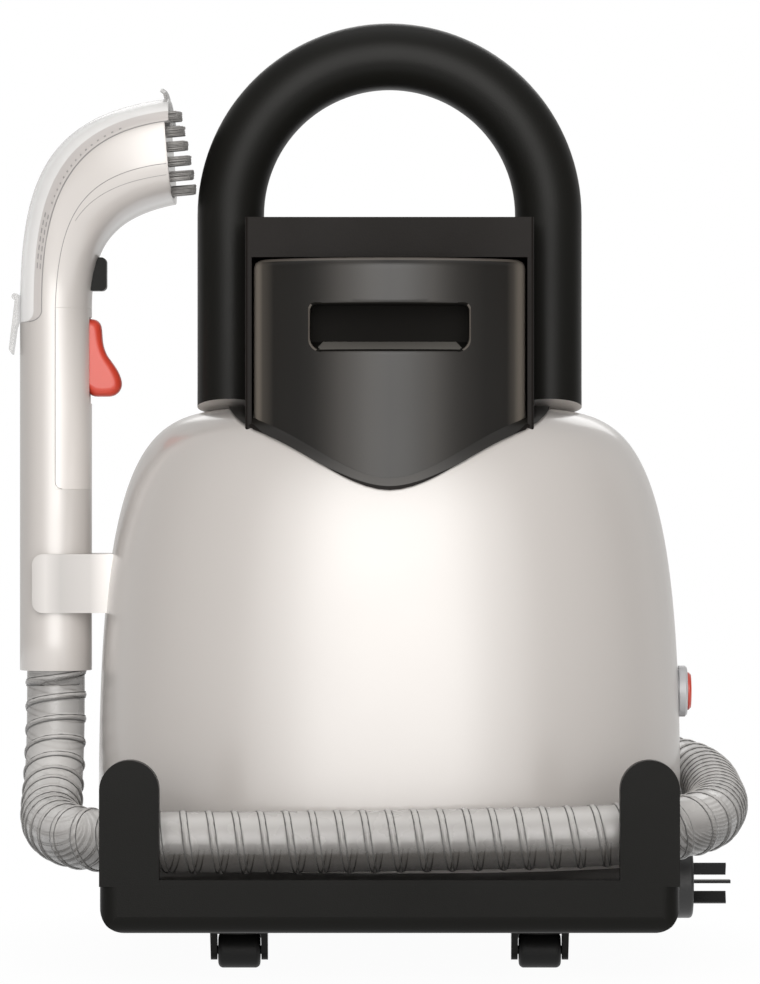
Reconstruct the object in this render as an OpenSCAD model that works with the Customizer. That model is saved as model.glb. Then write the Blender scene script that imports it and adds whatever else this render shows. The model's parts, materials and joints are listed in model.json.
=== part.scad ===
// Carpet and upholstery spot cleaner on four casters: a white body on a black base, a smoky
// dirty-water tank in a black crown under a tubular carry handle, a clean-water tank at the back,
// and a cleaning wand that parks in a clip and joins the body through a ribbed suction hose.
// X points right, Y points back (the tank faces -Y) and Z points up.

/* [Body] */
// Width of the white body at its foot
body_w = 278.6; // [270:0.2:288]
// Depth of the white body at its foot
body_d = 212; // [206:1:220]
// Height of the white body above the base
body_h = 215; // [209:1:221]
// Wall of the white body
shell_wall = 3; // [2:0.25:4]
// Depth at which the body parts into its front and rear shells
shell_split_y = 23.5; // [23:0.1:23.7]

/* [Base] */
// Clear height under the base
base_z = 22.5; // [21:0.5:26]
// Height of the base
base_h = 24.5; // [22:0.5:27]
// Width of the base at the hose posts
base_w = 262; // [256:1:268]
// Wall of the base
base_wall = 3; // [2:0.25:4]
// Radius of the lower side edges of the base
base_side_r = 12; // [8:0.5:14]
// Radius of the upright corners of the base
base_corner_r = 8; // [5:0.5:10]
// Ledge behind the body
rear_ledge = 12; // [9:0.5:15]
// Width of a hose post
post_w = 27; // [22:0.5:32]
// Thickness of a hose post
post_t = 9.2; // [7:0.2:12]
// Height of a hose post above the base
post_h = 54; // [45:1:62]

/* [Casters] */
// Distance from the middle to a caster's swivel, sideways
caster_x = 70; // [64:1:80]
// Distance from the middle to a caster's swivel, front and back
caster_y = 75; // [72:1:80]
// Wheel diameter
wheel_d = 16.6; // [14:0.2:17]
// Wheel width
wheel_w = 19.6; // [16:0.2:22]
// Distance from the swivel back to the wheel's axle
caster_trail = 7; // [4:0.5:8]
// Diameter of the wheel's axle
axle_d = 4; // [3:0.25:5]
// Diameter of the swivel stem
stem_d = 8; // [6:0.5:9]
// Diameter of the collar under the base
collar_d = 31; // [27:0.5:34]
// Thickness of the collar under the base
collar_t = 3; // [2:0.25:3.5]

/* [Handle and crown] */
// Diameter of the handle tube
handle_d = 32; // [28:0.5:34]
// Wall of the handle tube
handle_wall = 3; // [2:0.25:4]
// Radius of the handle arch at the middle of the tube
arch_r = 76.2; // [75:0.2:78]
// Height of the middle of the arch above the body
arch_z = 92.2; // [89:0.2:103]
// Width of the crown
crown_w = 134.6; // [132:0.2:136]
// Height of the crown's top above the body
crown_top = 88; // [84:0.5:90]
// Wall of the crown
crown_wall = 3; // [2:0.25:3.5]
// Front of the crown's sides
crown_front = 70; // [66:0.5:74]
// Back of the crown
crown_back = 51; // [50:0.5:56]
// Height of the bezel band below the dirty tank's edge
band_h = 4.5; // [3:0.25:6]
// How far the bezel band stands off the body
band_t = 1.2; // [0.8:0.1:1.8]

/* [Dirty tank] */
// How far the tank's front bulges from the middle of the machine
tank_front = 95.4; // [94:0.2:97]
// Radius of the tank's bulged front
tank_r = 85; // [82:0.5:90]
// Height of the tank's top above the body
tank_top = 68.3; // [64:0.1:70]
// Wall of the dirty tank
tank_wall = 2.6; // [2:0.1:3.4]
// Clearance round the dirty tank
tank_gap = 0.8; // [0.5:0.1:1.2]
// Width of the finger slot
slot_w = 74; // [64:1:84]
// Bottom of the finger slot above the body
slot_z = 24.6; // [22:0.2:28]
// Height of the finger slot
slot_h = 21.7; // [18:0.1:24]
// Width of the ports at the back of the tank
port_d = 20; // [16:0.5:22]

/* [Clean tank] */
// Width of the clean tank
clean_w = 150; // [130:1:152]
// Bottom of the clean tank
clean_z = 113; // [112:0.5:118]
// Height of the clean tank
clean_h = 133; // [120:1:135]
// Wall of the clean tank
clean_wall = 2.4; // [2:0.1:3]
// Front of the clean tank, behind the middle of the machine
clean_front = 52; // [52:0.5:58]

/* [Wand] */
// Distance from the middle of the machine to the wand
wand_x = 160.1; // [159.9:0.1:165]
// Bottom of the wand
wand_z = 136.2; // [130:0.2:142]
// Diameter of the wand's grip
wand_d = 34.5; // [33:0.1:34.6]
// Wall of the wand
wand_wall = 3.2; // [2.6:0.1:3.6]
// Half width of the cleaning head at its mouth
mouth_half = 43; // [36:0.5:48]
// Angle to which the clear cover wraps each side of the head
cover_angle = 64; // [50:1:66]
// Thickness of the panel let into the grip
insert_t = 1.6; // [1.2:0.1:1.8]
// Length of the bristle tufts
bristle_l = 12; // [9:0.5:12.2]
// Bottom of the wand clip
clip_z = 164; // [158:1:170]
// Height of the wand clip
clip_h = 28; // [22:1:32]
// Wall of the wand clip
clip_t = 3; // [2:0.25:4]

/* [Hose and cord] */
// Outside diameter of the suction hose
hose_d = 29.5; // [26:0.5:29.5]
// Diameter of the mains cord
cord_d = 7; // [6:0.25:7.5]
// Sideways place of the wound mains cord's middle
hank_x = -45; // [-50:1:-42]
// Half length of the wound cord's straight runs
hank_straight = 44; // [36:1:46]
// Height of the wound mains cord
hank_h = 77; // [72:1:78]
// Thickness of the wound mains cord
hank_t = 27; // [20:1:28]

/* [Controls] */
// Height of the power button
button_z = 126; // [120:0.5:132]
// Diameter of the power button
button_d = 18; // [15:0.5:19]
// Diameter of the ring round the power button
bezel_d = 24.5; // [23.5:0.5:27]
// Travel of the power button
button_travel = 2; // [1.5:0.1:2.2]

/* [Hidden] */
$fn = 96;

// Clearances: face_gap parts two faces, bush_gap is a shaft's radial play, slide_gap a sliding fit.
face_gap = 0.3;
bush_gap = 0.05;
slide_gap = 0.4;
far = 400;

// Body form: every level is a superellipse, and so is the outline from foot to top.
plan_power = 2.3;
side_power = 7.75;
rise_power = 3;
plan_steps = 60;
rise_steps = 14;
top_angle = 88;
ledge_z = base_z + base_h;
body_top = ledge_z + body_h;
arch_middle_z = body_top + arch_z;
crown_top_z = body_top + crown_top;
tank_top_z = body_top + tank_top;
slot_floor_z = body_top + slot_z;

// Hose gutter and base outline.
hose_front_y = -(body_d / 2 + 0.8 + hose_d / 2);
post_back_y = hose_front_y - hose_d / 2 - 0.5;
base_front_y = post_back_y - post_t;
base_back_y = body_d / 2 + rear_ledge;
foot_inset = 0.8;
foot_lip = 4.5;
foot_drop = 14;

// Casters.
wheel_top_gap = 0.6;
fork_plate = 2;
cheek_t = 3;
cheek_gap = 0.5;
stem_h = 16;
socket_wall = 3;
boss_wall = 3;
CASTERS = [[-1, -1], [1, -1], [-1, 1], [1, 1]];

// Handle and crown.
leg_r = handle_d / 2;
leg_front_z = body_top + 5.4;
leg_back_z = body_top + 1.6;
bay_half = crown_w / 2 - crown_wall;
tank_half = bay_half - tank_gap;
neck_half = arch_r - leg_r - crown_wall - tank_gap;
tank_neck_y = -leg_r - crown_wall - tank_gap;
tank_back = 20;
bay_top = tank_top_z + 1;
flare_half = arch_r;
crown_back_r = 12;
port_x = 25;
port_z = body_top + 38;
plenum_back = crown_back - crown_wall;
plenum_front = tank_back + tank_gap + crown_wall;

// Ducts.
duct_d = port_d + 4;
duct_y = (plenum_front + plenum_back) / 2;
fan_x = -45;
fan_y = -25;
motor_r = 40;
motor_h = 82;
fan_r = 56;
fan_h = 36;
floor_z = base_z + base_wall;
fan_z = floor_z + motor_h;

// Hose elbow in the back wall.
elbow_x = 62;
elbow_z = 88;
elbow_bend = 22;
elbow_wall = 3.5;
elbow_collar = 16;
hose_back_y = 121.5;

// Wand head: the outer and inner outlines are cubic curves in the XZ plane.
head_z = 310;
head_outer = [[-wand_x - wand_d / 2, head_z], [-177, 367], [-168, 401], [-107.3, 409.2]];
head_inner = [[-wand_x + wand_d / 2, head_z], [-142.9, 338], [-134, 354], [-103.2, 360]];
head_steps = 16;
head_sides = 28;
head_tuck = 0.25;
insert_z = 223;
insert_top = head_z - 0.5;
trigger_half = 6.5;
trigger_pin_d = 3;
trigger_pivot = [-150.5, 299];
trigger_window = [263, 307.2];
button_window = [318, 334];
button_half = 5;

// Suction hose route, from the wand down the left side, across the front and along the right side
// to the elbow at the back. The ends follow the wand and the elbow.
HOSE_ROUTE = [[-wand_x, 0, wand_z - face_gap], [-wand_x, 0, 131.5], [-wand_x, 0, 127],
    [-160, -3.5, 110], [-160, -10.5, 94], [-160, -24, 79],
    [-159, -48, 69], [-154, -76, 65], [-143, -101, 63], [-124, -116, 62.5],
    [-98, hose_front_y, 62.5], [-50, hose_front_y, 62.5], [0, hose_front_y, 63],
    [50, hose_front_y, 64], [88, hose_front_y, 65], [114, -119, 66.5], [134, -109, 68.5],
    [146, -90, 70.5], [151.5, -62, 72], [155.2, -30, 74], [155.8, 10, 77], [155.2, 46, 80],
    [150, 76, 83], [138, 101, 85.5], [124, 115.5, 87.5], [108, hose_back_y, elbow_z],
    [104, hose_back_y, elbow_z],
    [elbow_x + elbow_bend + elbow_collar + face_gap, hose_back_y, elbow_z]];

// Mains cord: gland, wound cord on its two drums, and plug.
gland = [100, base_back_y, 37];
gland_turn = 55;
gland_l = 13;
hook_plate = 2.5;
hook_back = 2.2;
hank_hole = hank_h / 2 - 3 * cord_d;
hank_y = base_back_y + hook_back + face_gap + hank_t / 2;
hank_z = 13.5 + hank_h / 2;
hook_depth = hook_back + face_gap + hank_t + hook_plate;
plug_y = 137;
plug_z = 23;
plug_r = 18;
plug_x = 118;
plug_face = 153.5;
LEAD_ROUTE = [[88.7, 130.7, gland.z], [84.2, 133.7, 36.7], [74, 135, 34.6], [60, 132.5, 29],
    [44, 127, 21.5], [26, 124, 18]];
TAIL_ROUTE = [[35.8, 143.5, 73.3], [52, 143, 49.5], [72, 142, 35], [92, 139, 25.5], [108, plug_y, plug_z],
    [plug_x - face_gap, plug_y, plug_z]];

// The frame's origin is at the middle of the model's underside.
latch_reach = 182.3;
latch_barrel = 3.2;
latch_pivot = [-wand_x - wand_d / 2 - latch_barrel / 2 - 0.4, 315.2];
bezel_seat = body_w / 2 - 0.7;
bezel_face = bezel_seat + 4;
button_reach = bezel_face + 1.9;
centre_x = (button_reach - latch_reach) / 2;
centre_y = (base_front_y + base_back_y + hook_depth) / 2;

// ---- functions -------------------------------------------------------------------------------

function unit(v) = v / norm(v);

function power(base, exponent) = sign(base) * pow(abs(base), exponent);

// One level of the body, as a superellipse of half sizes a and b.
function level(a, b, z) = [for (i = [0:plan_steps - 1]) let (t = 360 * i / plan_steps)
    [a * power(cos(t), 2 / plan_power), b * power(sin(t), 2 / plan_power), z]];

// Height of the body, grown by g, above the point (x, y).
function body_height(x, y, g = 0) =
    let (s = pow(pow(abs(x) / (body_w / 2 + g), plan_power)
            + pow(abs(y) / (body_d / 2 + g), plan_power), 1 / plan_power))
    ledge_z + (body_h + g) * pow(max(0, 1 - pow(s, side_power)), 1 / rise_power);

// Front of the dirty tank at x, seen from above.
function tank_face(x) = -tank_front + tank_r - sqrt(tank_r * tank_r - x * x);

// Lower edge of the dirty tank at x, seen from the front.
function tank_edge(x) = body_height(x, tank_face(x), tank_gap);

// Point of a cubic curve.
function cubic(p, t) = pow(1 - t, 3) * p[0] + 3 * t * pow(1 - t, 2) * p[1]
    + 3 * t * t * (1 - t) * p[2] + pow(t, 3) * p[3];

function ease(t) = t * t * (3 - 2 * t);

// Point of the cleaning head's skin: t runs from grip to mouth and a round from the back. The skin
// starts a little inside the grip's round.
function head_point(t, a, inset) =
    let (o = cubic(head_outer, t), i = cubic(head_inner, t), c = (o + i) / 2,
        tuck = inset + head_tuck * max(0, 1 - head_steps * t),
        n = unit(o - i), h = norm(o - i) / 2 - tuck,
        w = wand_d / 2 + (mouth_half - wand_d / 2) * ease(t) - tuck,
        q = 2 + 1.2 * ease(t), u = h * power(cos(a), 2 / q), v = w * power(sin(a), 2 / q))
    [c.x + u * n.x, -v, c.y + u * n.y];

function head_ring(t, inset) =
    [for (k = [0:head_sides - 1]) head_point(t, 360 * k / head_sides, inset)];

// A strip of the head's skin between two insets, wrapped to the given angle each side.
function strip_ring(t, outer, inner, angle, sides) = concat(
    [for (k = [0:sides]) head_point(t, -angle + 2 * angle * k / sides, outer)],
    [for (k = [sides:-1:0]) head_point(t, -angle + 2 * angle * k / sides, inner)]);

// Catmull-Rom curve through the points, with steps points in each span.
function span(p, i, t) =
    let (a = p[max(i - 1, 0)], b = p[i], c = p[i + 1], d = p[min(i + 2, len(p) - 1)])
    0.5 * (2 * b + (c - a) * t + (2 * a - 5 * b + 4 * c - d) * t * t
        + (3 * b - a - 3 * c + d) * t * t * t);

function smooth_route(p, steps) = concat(
    [for (i = [0:len(p) - 2], k = [0:steps - 1]) span(p, i, k / steps)], [p[len(p) - 1]]);

function headings(p) = [for (i = [0:len(p) - 1])
    unit(p[min(i + 1, len(p) - 1)] - p[max(i - 1, 0)])];

// Carries the side vector u along the headings without twist.
function carry(h, u, i = 0) = i >= len(h) ? []
    : let (v = unit(u - (u * h[i]) * h[i])) concat([v], carry(h, v, i + 1));

function tube_rings(p, r, sides) =
    let (h = headings(p), u = carry(h, abs(h[0].z) > 0.9 ? [1, 0, 0] : [0, 0, 1]))
    [for (i = [0:len(p) - 1]) let (w = cross(h[i], u[i]))
        [for (k = [0:sides - 1]) p[i] + r * (cos(360 * k / sides) * u[i] + sin(360 * k / sides) * w)]];

// ---- general shapes --------------------------------------------------------------------------

// Closed solid through a list of rings with equal counts of points.
module skin(rings) {
    n = len(rings[0]);
    last = (len(rings) - 1) * n;
    polyhedron(
        points = [for (r = rings) each r],
        faces = concat(
            [[for (i = [0:n - 1]) i]],
            [[for (i = [n - 1:-1:0]) last + i]],
            [for (j = [0:len(rings) - 2], i = [0:n - 1])
                let (a = j * n + i, b = j * n + (i + 1) % n) each [[a, a + n, b + n], [a, b + n, b]]]),
        convexity = 10);
}

// Solid of the body's form, grown by g, from the ledge up.
module body_form(g = 0) {
    skin([for (k = [0:rise_steps])
        let (a = top_angle * k / rise_steps, s = pow(cos(a), 2 / side_power))
        level(s * (body_w / 2 + g), s * (body_d / 2 + g),
            ledge_z + (body_h + g) * pow(sin(a), 2 / rise_power))]);
}

// Rectangle from p to q with rounded corners.
module round_rect(p, q, r) {
    translate([p.x + r, p.y]) square([q.x - p.x - 2 * r, q.y - p.y]);
    translate([p.x, p.y + r]) square([q.x - p.x, q.y - p.y - 2 * r]);
    for (x = [p.x + r, q.x - r], y = [p.y + r, q.y - r]) translate([x, y]) circle(r);
}

// Extrudes a profile drawn in X and Z along Y, from y0 to y1.
module along_y(y0, y1) {
    translate([0, y1, 0]) rotate([90, 0, 0]) linear_extrude(y1 - y0) children();
}

// Extrudes a profile drawn in Y and Z along X, from x0 to x1.
module along_x(x0, x1) {
    translate([x0, 0, 0]) rotate([90, 0, 90]) linear_extrude(x1 - x0) children();
}

// Cylinder along X or along Y, starting at point p.
module bar_x(p, l, d) {
    translate(p) rotate([0, 90, 0]) cylinder(h = l, d = d);
}
module bar_y(p, l, d) {
    translate(p) rotate([-90, 0, 0]) cylinder(h = l, d = d);
}

// Round rod bent through the points.
module rod(points, d) {
    skin(tube_rings(smooth_route(points, 4), d / 2, 10));
}

// Bent tube through the points: the bore runs out through both end faces.
module pipe(points, d, bore) {
    route = smooth_route(points, 4);
    last = len(route) - 1;
    sides = 20;
    difference() {
        skin(tube_rings(route, d / 2, sides));
        skin(tube_rings(concat([route[0] + unit(route[0] - route[1])], route,
            [route[last] + unit(route[last] - route[last - 1])]), bore / 2, sides));
    }
}

module half_space_y(from, to) {
    translate([-far, from, -far]) cube([2 * far, to - from, 3 * far]);
}

// ---- base and casters ------------------------------------------------------------------------

// The base's outer form, shrunk by t on every face.
module base_form(t) {
    r_side = max(1, base_side_r - t);
    r_up = max(1, base_corner_r - t);
    intersection() {
        translate([0, 0, base_z + t]) linear_extrude(base_h - t)
            round_rect([-base_w / 2 + t, base_front_y + t], [base_w / 2 - t, base_back_y - t], r_up);
        along_y(base_front_y, base_back_y)
            round_rect([-base_w / 2 + t, base_z + t], [base_w / 2 - t, base_z + 2 * base_h], r_side);
        along_x(-base_w / 2, base_w / 2)
            round_rect([base_front_y + t, base_z + t], [base_back_y - t, base_z + 2 * base_h], r_up);
    }
}

module foot_outline(inset, z0, z1) {
    translate([0, 0, z0]) linear_extrude(z1 - z0)
        polygon([for (p = level(body_w / 2 - inset, body_d / 2 - inset, 0)) [p.x, p.y]]);
}

module hose_post(x) {
    r = post_w / 2;
    along_y(base_front_y, post_back_y) {
        translate([x - r, ledge_z - base_wall]) square([post_w, post_h + base_wall - r]);
        translate([x, ledge_z + post_h - r]) circle(r);
    }
}

screw_d = 3.4;
screw_head_d = 7;
screw_head_h = 2.6;
SCREWS = [[-100, -55], [100, -55], [-112, 20], [112, 20], [-60, 92], [10, 92]];
grille_centre = [-20, 48];
grille_size = [70, 36];
socket_d = stem_d + 2 * bush_gap + 2 * socket_wall;

module base_tray() color([0.09, 0.09, 0.1]) {
    difference() {
        union() {
            difference() {
                union() {
                    base_form(0);
                    foot_outline(foot_inset, ledge_z - foot_drop, ledge_z);
                }
                intersection() {
                    base_form(base_wall);
                    translate([-far, -far, 0]) cube([2 * far, 2 * far, ledge_z - base_wall]);
                }
                foot_outline(foot_inset + foot_lip, ledge_z - foot_drop + base_wall, ledge_z + 1);
            }
            for (s = [-1, 1]) hose_post(s * (base_w - post_w) / 2);
            for (c = CASTERS) translate([c.x * caster_x, c.y * caster_y, base_z])
                cylinder(h = stem_h, d = socket_d + 2 * boss_wall);
            for (p = SCREWS) translate([p.x, p.y, base_z])
                cylinder(h = base_h - base_wall, d = screw_head_d + 3);
        }
        for (c = CASTERS) translate([c.x * caster_x, c.y * caster_y, base_z - 1])
            cylinder(h = stem_h + 2, d = socket_d + 2 * bush_gap);
        for (p = SCREWS) translate([p.x, p.y, base_z - 1]) {
            cylinder(h = base_h + 2, d = screw_d + 0.2);
            cylinder(h = screw_head_h + 1.6, d = screw_head_d + 0.4);
        }
        translate([grille_centre.x - grille_size.x / 2 - 0.2, grille_centre.y - grille_size.y / 2 - 0.2,
            base_z - 1]) cube([grille_size.x + 0.4, grille_size.y + 0.4, base_wall + 2]);
    }
}

module housing_screws() color([0.55, 0.56, 0.58])
    for (p = SCREWS) translate([p.x, p.y, base_z + 0.5]) {
        cylinder(h = screw_head_h, d = screw_head_d);
        cylinder(h = base_h - base_wall - 1, d = screw_d);
    }

module exhaust_grille() color([0.12, 0.12, 0.13]) {
    flange = 3;
    slot = 3;
    pitch = 6;
    count = floor((grille_size.x - 6) / pitch);
    translate([grille_centre.x, grille_centre.y, 0]) difference() {
        union() {
            translate([-grille_size.x / 2, -grille_size.y / 2, base_z + 0.3])
                cube([grille_size.x, grille_size.y, base_wall]);
            translate([-grille_size.x / 2 - flange, -grille_size.y / 2 - flange, floor_z])
                cube([grille_size.x + 2 * flange, grille_size.y + 2 * flange, 1.5]);
        }
        for (i = [0:count - 1]) translate([(i - (count - 1) / 2) * pitch - slot / 2,
            4 - grille_size.y / 2, base_z]) cube([slot, grille_size.y - 8, base_wall + 3]);
    }
}

collar_z = base_z - collar_t;
fork_top = collar_z - face_gap;
cheek_in = wheel_w / 2 + cheek_gap;

module caster_sockets() color([0.11, 0.11, 0.12])
    for (c = CASTERS) translate([c.x * caster_x, c.y * caster_y, 0]) difference() {
        union() {
            translate([0, 0, collar_z]) cylinder(h = collar_t, d = collar_d);
            translate([0, 0, base_z]) cylinder(h = stem_h, d = socket_d);
        }
        translate([0, 0, collar_z - 1]) cylinder(h = collar_t + stem_h + 2, d = stem_d + 2 * bush_gap);
    }

// Swivelling fork with its axle pin, at caster c.
module caster_fork(c) color([0.13, 0.13, 0.14]) translate([c.x * caster_x, c.y * caster_y, 0]) {
    eye = 4.6;
    crown_r = cheek_in + cheek_t;
    translate([0, 0, fork_top - fork_plate]) cylinder(h = fork_plate, r = crown_r);
    translate([0, 0, fork_top - 0.1]) cylinder(h = stem_h + collar_t - 1, d = stem_d);
    for (s = [-1, 1]) intersection() {
        along_x(s > 0 ? cheek_in : -cheek_in - cheek_t, s > 0 ? cheek_in + cheek_t : -cheek_in) {
            translate([caster_trail, wheel_d / 2]) circle(eye);
            polygon([[-crown_r * 0.45, fork_top - 0.5], [crown_r * 0.75, fork_top - 0.5],
                [caster_trail + eye * 0.95, wheel_d / 2], [caster_trail - eye * 0.9, wheel_d / 2 - 1.5]]);
        }
        cylinder(h = fork_top, r = crown_r + 3);
    }
    bar_x([-cheek_in - cheek_t, caster_trail, wheel_d / 2], 2 * (cheek_in + cheek_t), axle_d);
}

module caster_wheel(c) color([0.16, 0.16, 0.17]) {
    edge = 2.4;
    translate([c.x * caster_x, c.y * caster_y + caster_trail, wheel_d / 2]) rotate([0, 90, 0])
        rotate_extrude() {
            bore = axle_d / 2 + bush_gap;
            translate([bore, -wheel_w / 2]) square([wheel_d / 2 - edge - bore, wheel_w]);
            translate([bore, -wheel_w / 2 + edge]) square([wheel_d / 2 - bore, wheel_w - 2 * edge]);
            for (s = [-1, 1]) translate([wheel_d / 2 - edge, s * (wheel_w / 2 - edge)]) circle(edge);
        }
}

// ---- white body ------------------------------------------------------------------------------

recess_gap = 0.8;
recess_wall = 2;
bezel_bore = button_d + 2 * face_gap;
bezel_barrel = bezel_bore + 2.8;
duct_hole = duct_d + 0.4;

// Block behind which the clean tank parks, grown by g.
module clean_block(g) {
    translate([-clean_w / 2 - g, clean_front - g, clean_z - g])
        cube([clean_w + 2 * g, far, clean_h + 2 * g]);
}

module front_shell() color([0.94, 0.94, 0.93]) difference() {
    body_form();
    body_form(-shell_wall);
    translate([-far, -far, ledge_z - 1]) cube([2 * far, 2 * far, 1.2]);
    half_space_y(shell_split_y, far);
    bar_x([body_w / 2 - 20, 0, button_z], 40, bezel_barrel + 0.4);
}

module rear_shell() color([0.93, 0.93, 0.92]) difference() {
    body_form();
    body_form(-shell_wall);
    translate([-far, -far, ledge_z - 1]) cube([2 * far, 2 * far, 1.2]);
    half_space_y(-far, shell_split_y);
    clean_block(recess_gap);
    for (s = [-1, 1]) translate([s * port_x, duct_y, body_top - 20]) cylinder(h = 40, d = duct_hole);
    bar_y([elbow_x, body_d / 2 - 40, elbow_z], 60, hose_d + 2 * elbow_wall + 0.4);
}

// Liner of the bay that takes the clean tank.
module clean_tank_bay() color([0.8, 0.8, 0.79]) difference() {
    intersection() {
        clean_block(recess_gap + recess_wall);
        body_form(-shell_wall - face_gap);
    }
    clean_block(recess_gap);
    bar_y([valve_x, clean_front - 20, valve_z], 20, valve_cup_d + 0.4);
}

module wand_clip() color([0.95, 0.95, 0.94]) difference() {
    inner = wand_d / 2 + slide_gap;
    outer = inner + clip_t;
    tip = -wand_x - 10;
    corner = 5;
    intersection() {
        translate([0, 0, clip_z]) linear_extrude(clip_h) difference() {
            translate([tip, -outer]) square([-tip - body_w / 2 + 12, 2 * outer]);
            translate([-wand_x, 0]) circle(inner);
            translate([tip - 1, -inner]) square([-wand_x - tip + 1, 2 * inner]);
        }
        along_y(-outer, outer) round_rect([tip, clip_z], [-100, clip_z + clip_h], corner);
    }
    body_form();
}

module switch_bezel() color([0.6, 0.6, 0.62]) difference() {
    union() {
        bar_x([bezel_seat, 0, button_z], bezel_face - bezel_seat - 1, bezel_d);
        translate([bezel_face - 1, 0, button_z]) rotate([0, 90, 0])
            cylinder(h = 1, d1 = bezel_d, d2 = bezel_d - 2);
        bar_x([switch_face, 0, button_z], bezel_seat - switch_face + 1, bezel_barrel);
    }
    bar_x([switch_face - 1, 0, button_z], 30, bezel_bore);
}

switch_face = bezel_seat - 11;
module switch_module() color([0.2, 0.2, 0.22]) {
    bar_x([switch_face - 12, 0, button_z], 12, bezel_barrel);
    translate([switch_face - 20, -7, button_z - 9]) cube([8.5, 14, 18]);
}

module power_button() color([0.9, 0.22, 0.16]) {
    head = 9;
    bar_x([button_reach - head, 0, button_z], head - 1, button_d);
    translate([button_reach - 1, 0, button_z]) rotate([0, 90, 0])
        cylinder(h = 1, d1 = button_d, d2 = button_d - 2);
    stem_end = switch_face + button_travel + face_gap;
    bar_x([stem_end, 0, button_z], button_reach - head - stem_end + 0.1, 6);
}

// ---- crown and handle ------------------------------------------------------------------------

// Outline of the dirty tank from above, grown by g.
module tank_plan(g = 0) {
    intersection() {
        translate([0, tank_r - tank_front]) circle(tank_r + g, $fn = 180);
        translate([-tank_half - g, -far]) square([2 * (tank_half + g), far + tank_neck_y + g]);
    }
    translate([-neck_half - g, tank_neck_y - 20])
        square([2 * (neck_half + g), tank_back + g - tank_neck_y + 20]);
}

// Bezel band on the body, below the dirty tank and flared out under the handle's legs.
module crown_band() {
    step = tank_half / 12;
    lift = 1;
    intersection() {
        difference() {
            body_form(band_t);
            body_form();
        }
        along_y(-far, 0) polygon(concat(
            [[-flare_half - 2, body_top + 4], [-flare_half, body_top]],
            [for (i = [-12:12]) [i * step, tank_edge(i * step) - band_h]],
            [[flare_half, body_top], [flare_half + 2, body_top + 4], [bay_half, body_top + 4]],
            [for (i = [12:-1:-12]) [i * step, tank_edge(i * step) - lift]],
            [[-bay_half, body_top + 4]]));
    }
}

module crown_frame() color([0.07, 0.065, 0.06]) {
    low = body_height(crown_w / 2, crown_front, 0) - 20;
    difference() {
        translate([0, 0, low]) linear_extrude(crown_top_z - low) {
            round_rect([-crown_w / 2, -crown_front], [crown_w / 2, 0], 1.5);
            round_rect([-crown_w / 2, -crown_front / 2], [crown_w / 2, crown_back], crown_back_r);
        }
        body_form();
        for (s = [-1, 1]) translate([s * arch_r, 0, low - 1])
            cylinder(h = crown_top_z - low + 2, r = leg_r + 0.15);
        translate([0, 0, low - 1]) linear_extrude(bay_top - low + 1) {
            tank_plan(tank_gap);
            translate([-bay_half, -crown_front - 1]) square([2 * bay_half, crown_front - 20]);
        }
        for (s = [0, 1]) mirror([s, 0, 0])
            translate([1.5, plenum_front, low - 1])
                cube([neck_half + tank_gap - 1.5, plenum_back - plenum_front, tank_top_z - low - 2]);
        for (s = [-1, 1]) bar_y([s * port_x, tank_back, port_z], 10, port_d);
    }
    crown_band();
    // shallow raised panel on the top
    panel_half = 40;
    panel_rise = 1.3;
    along_y(-10, crown_back - crown_back_r) polygon(concat(
        [[panel_half, crown_top_z - 1], [-panel_half, crown_top_z - 1]],
        [for (i = [-8:8]) [panel_half * i / 8, crown_top_z + panel_rise * (1 - pow(i / 8, 2))]]));
}

module port_gaskets() color([0.2, 0.2, 0.2])
    for (s = [-1, 1]) difference() {
        bar_y([s * port_x, tank_back + face_gap, port_z], tank_gap - face_gap, port_d + 8);
        bar_y([s * port_x, tank_back, port_z], 3, port_d);
    }

// Handle tube of radius r: an arch on two legs, ending at height z.
module handle_rod(r, z) {
    translate([0, 0, arch_middle_z]) rotate([90, 0, 0]) rotate_extrude(angle = 180)
        translate([arch_r, 0]) circle(r);
    for (s = [-1, 1]) translate([s * arch_r, 0, z]) cylinder(h = arch_middle_z - z, r = r);
}

module handle_half(from, to) color([0.05, 0.05, 0.05]) difference() {
    intersection() {
        handle_rod(leg_r, leg_back_z - 2);
        half_space_y(from, to);
    }
    handle_rod(leg_r - handle_wall, leg_front_z + handle_wall);
    // the legs end on a slope that rises to the front
    slope = atan2(leg_front_z - leg_back_z, handle_d);
    translate([0, leg_r, leg_back_z]) rotate([-slope, 0, 0])
        translate([-far, -far, -20]) cube([2 * far, 2 * far, 20]);
}

module handle_front_half() handle_half(-far, 0);
module handle_rear_half() handle_half(0, far);

// ---- dirty tank ------------------------------------------------------------------------------

lid_inset = 6.5;
lid_lip = 2.5;
lid_step = tank_top_z - 3;
seal_t = 0.8;
pocket_back = tank_front - 24;
pocket_wall = 2.2;

module slot_pocket(g) {
    front = -tank_front - 10;
    back = -pocket_back + g;
    top = slot_floor_z + slot_h;
    intersection() {
        along_y(front, back)
            round_rect([-slot_w / 2 - g, slot_floor_z - g], [slot_w / 2 + g, top + 10], 6 + g);
        along_x(-far, far) polygon([[front, slot_floor_z - 3 - g], [back, slot_floor_z + 7 - g],
            [back, top + g], [front, top + g]]);
    }
}

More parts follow.
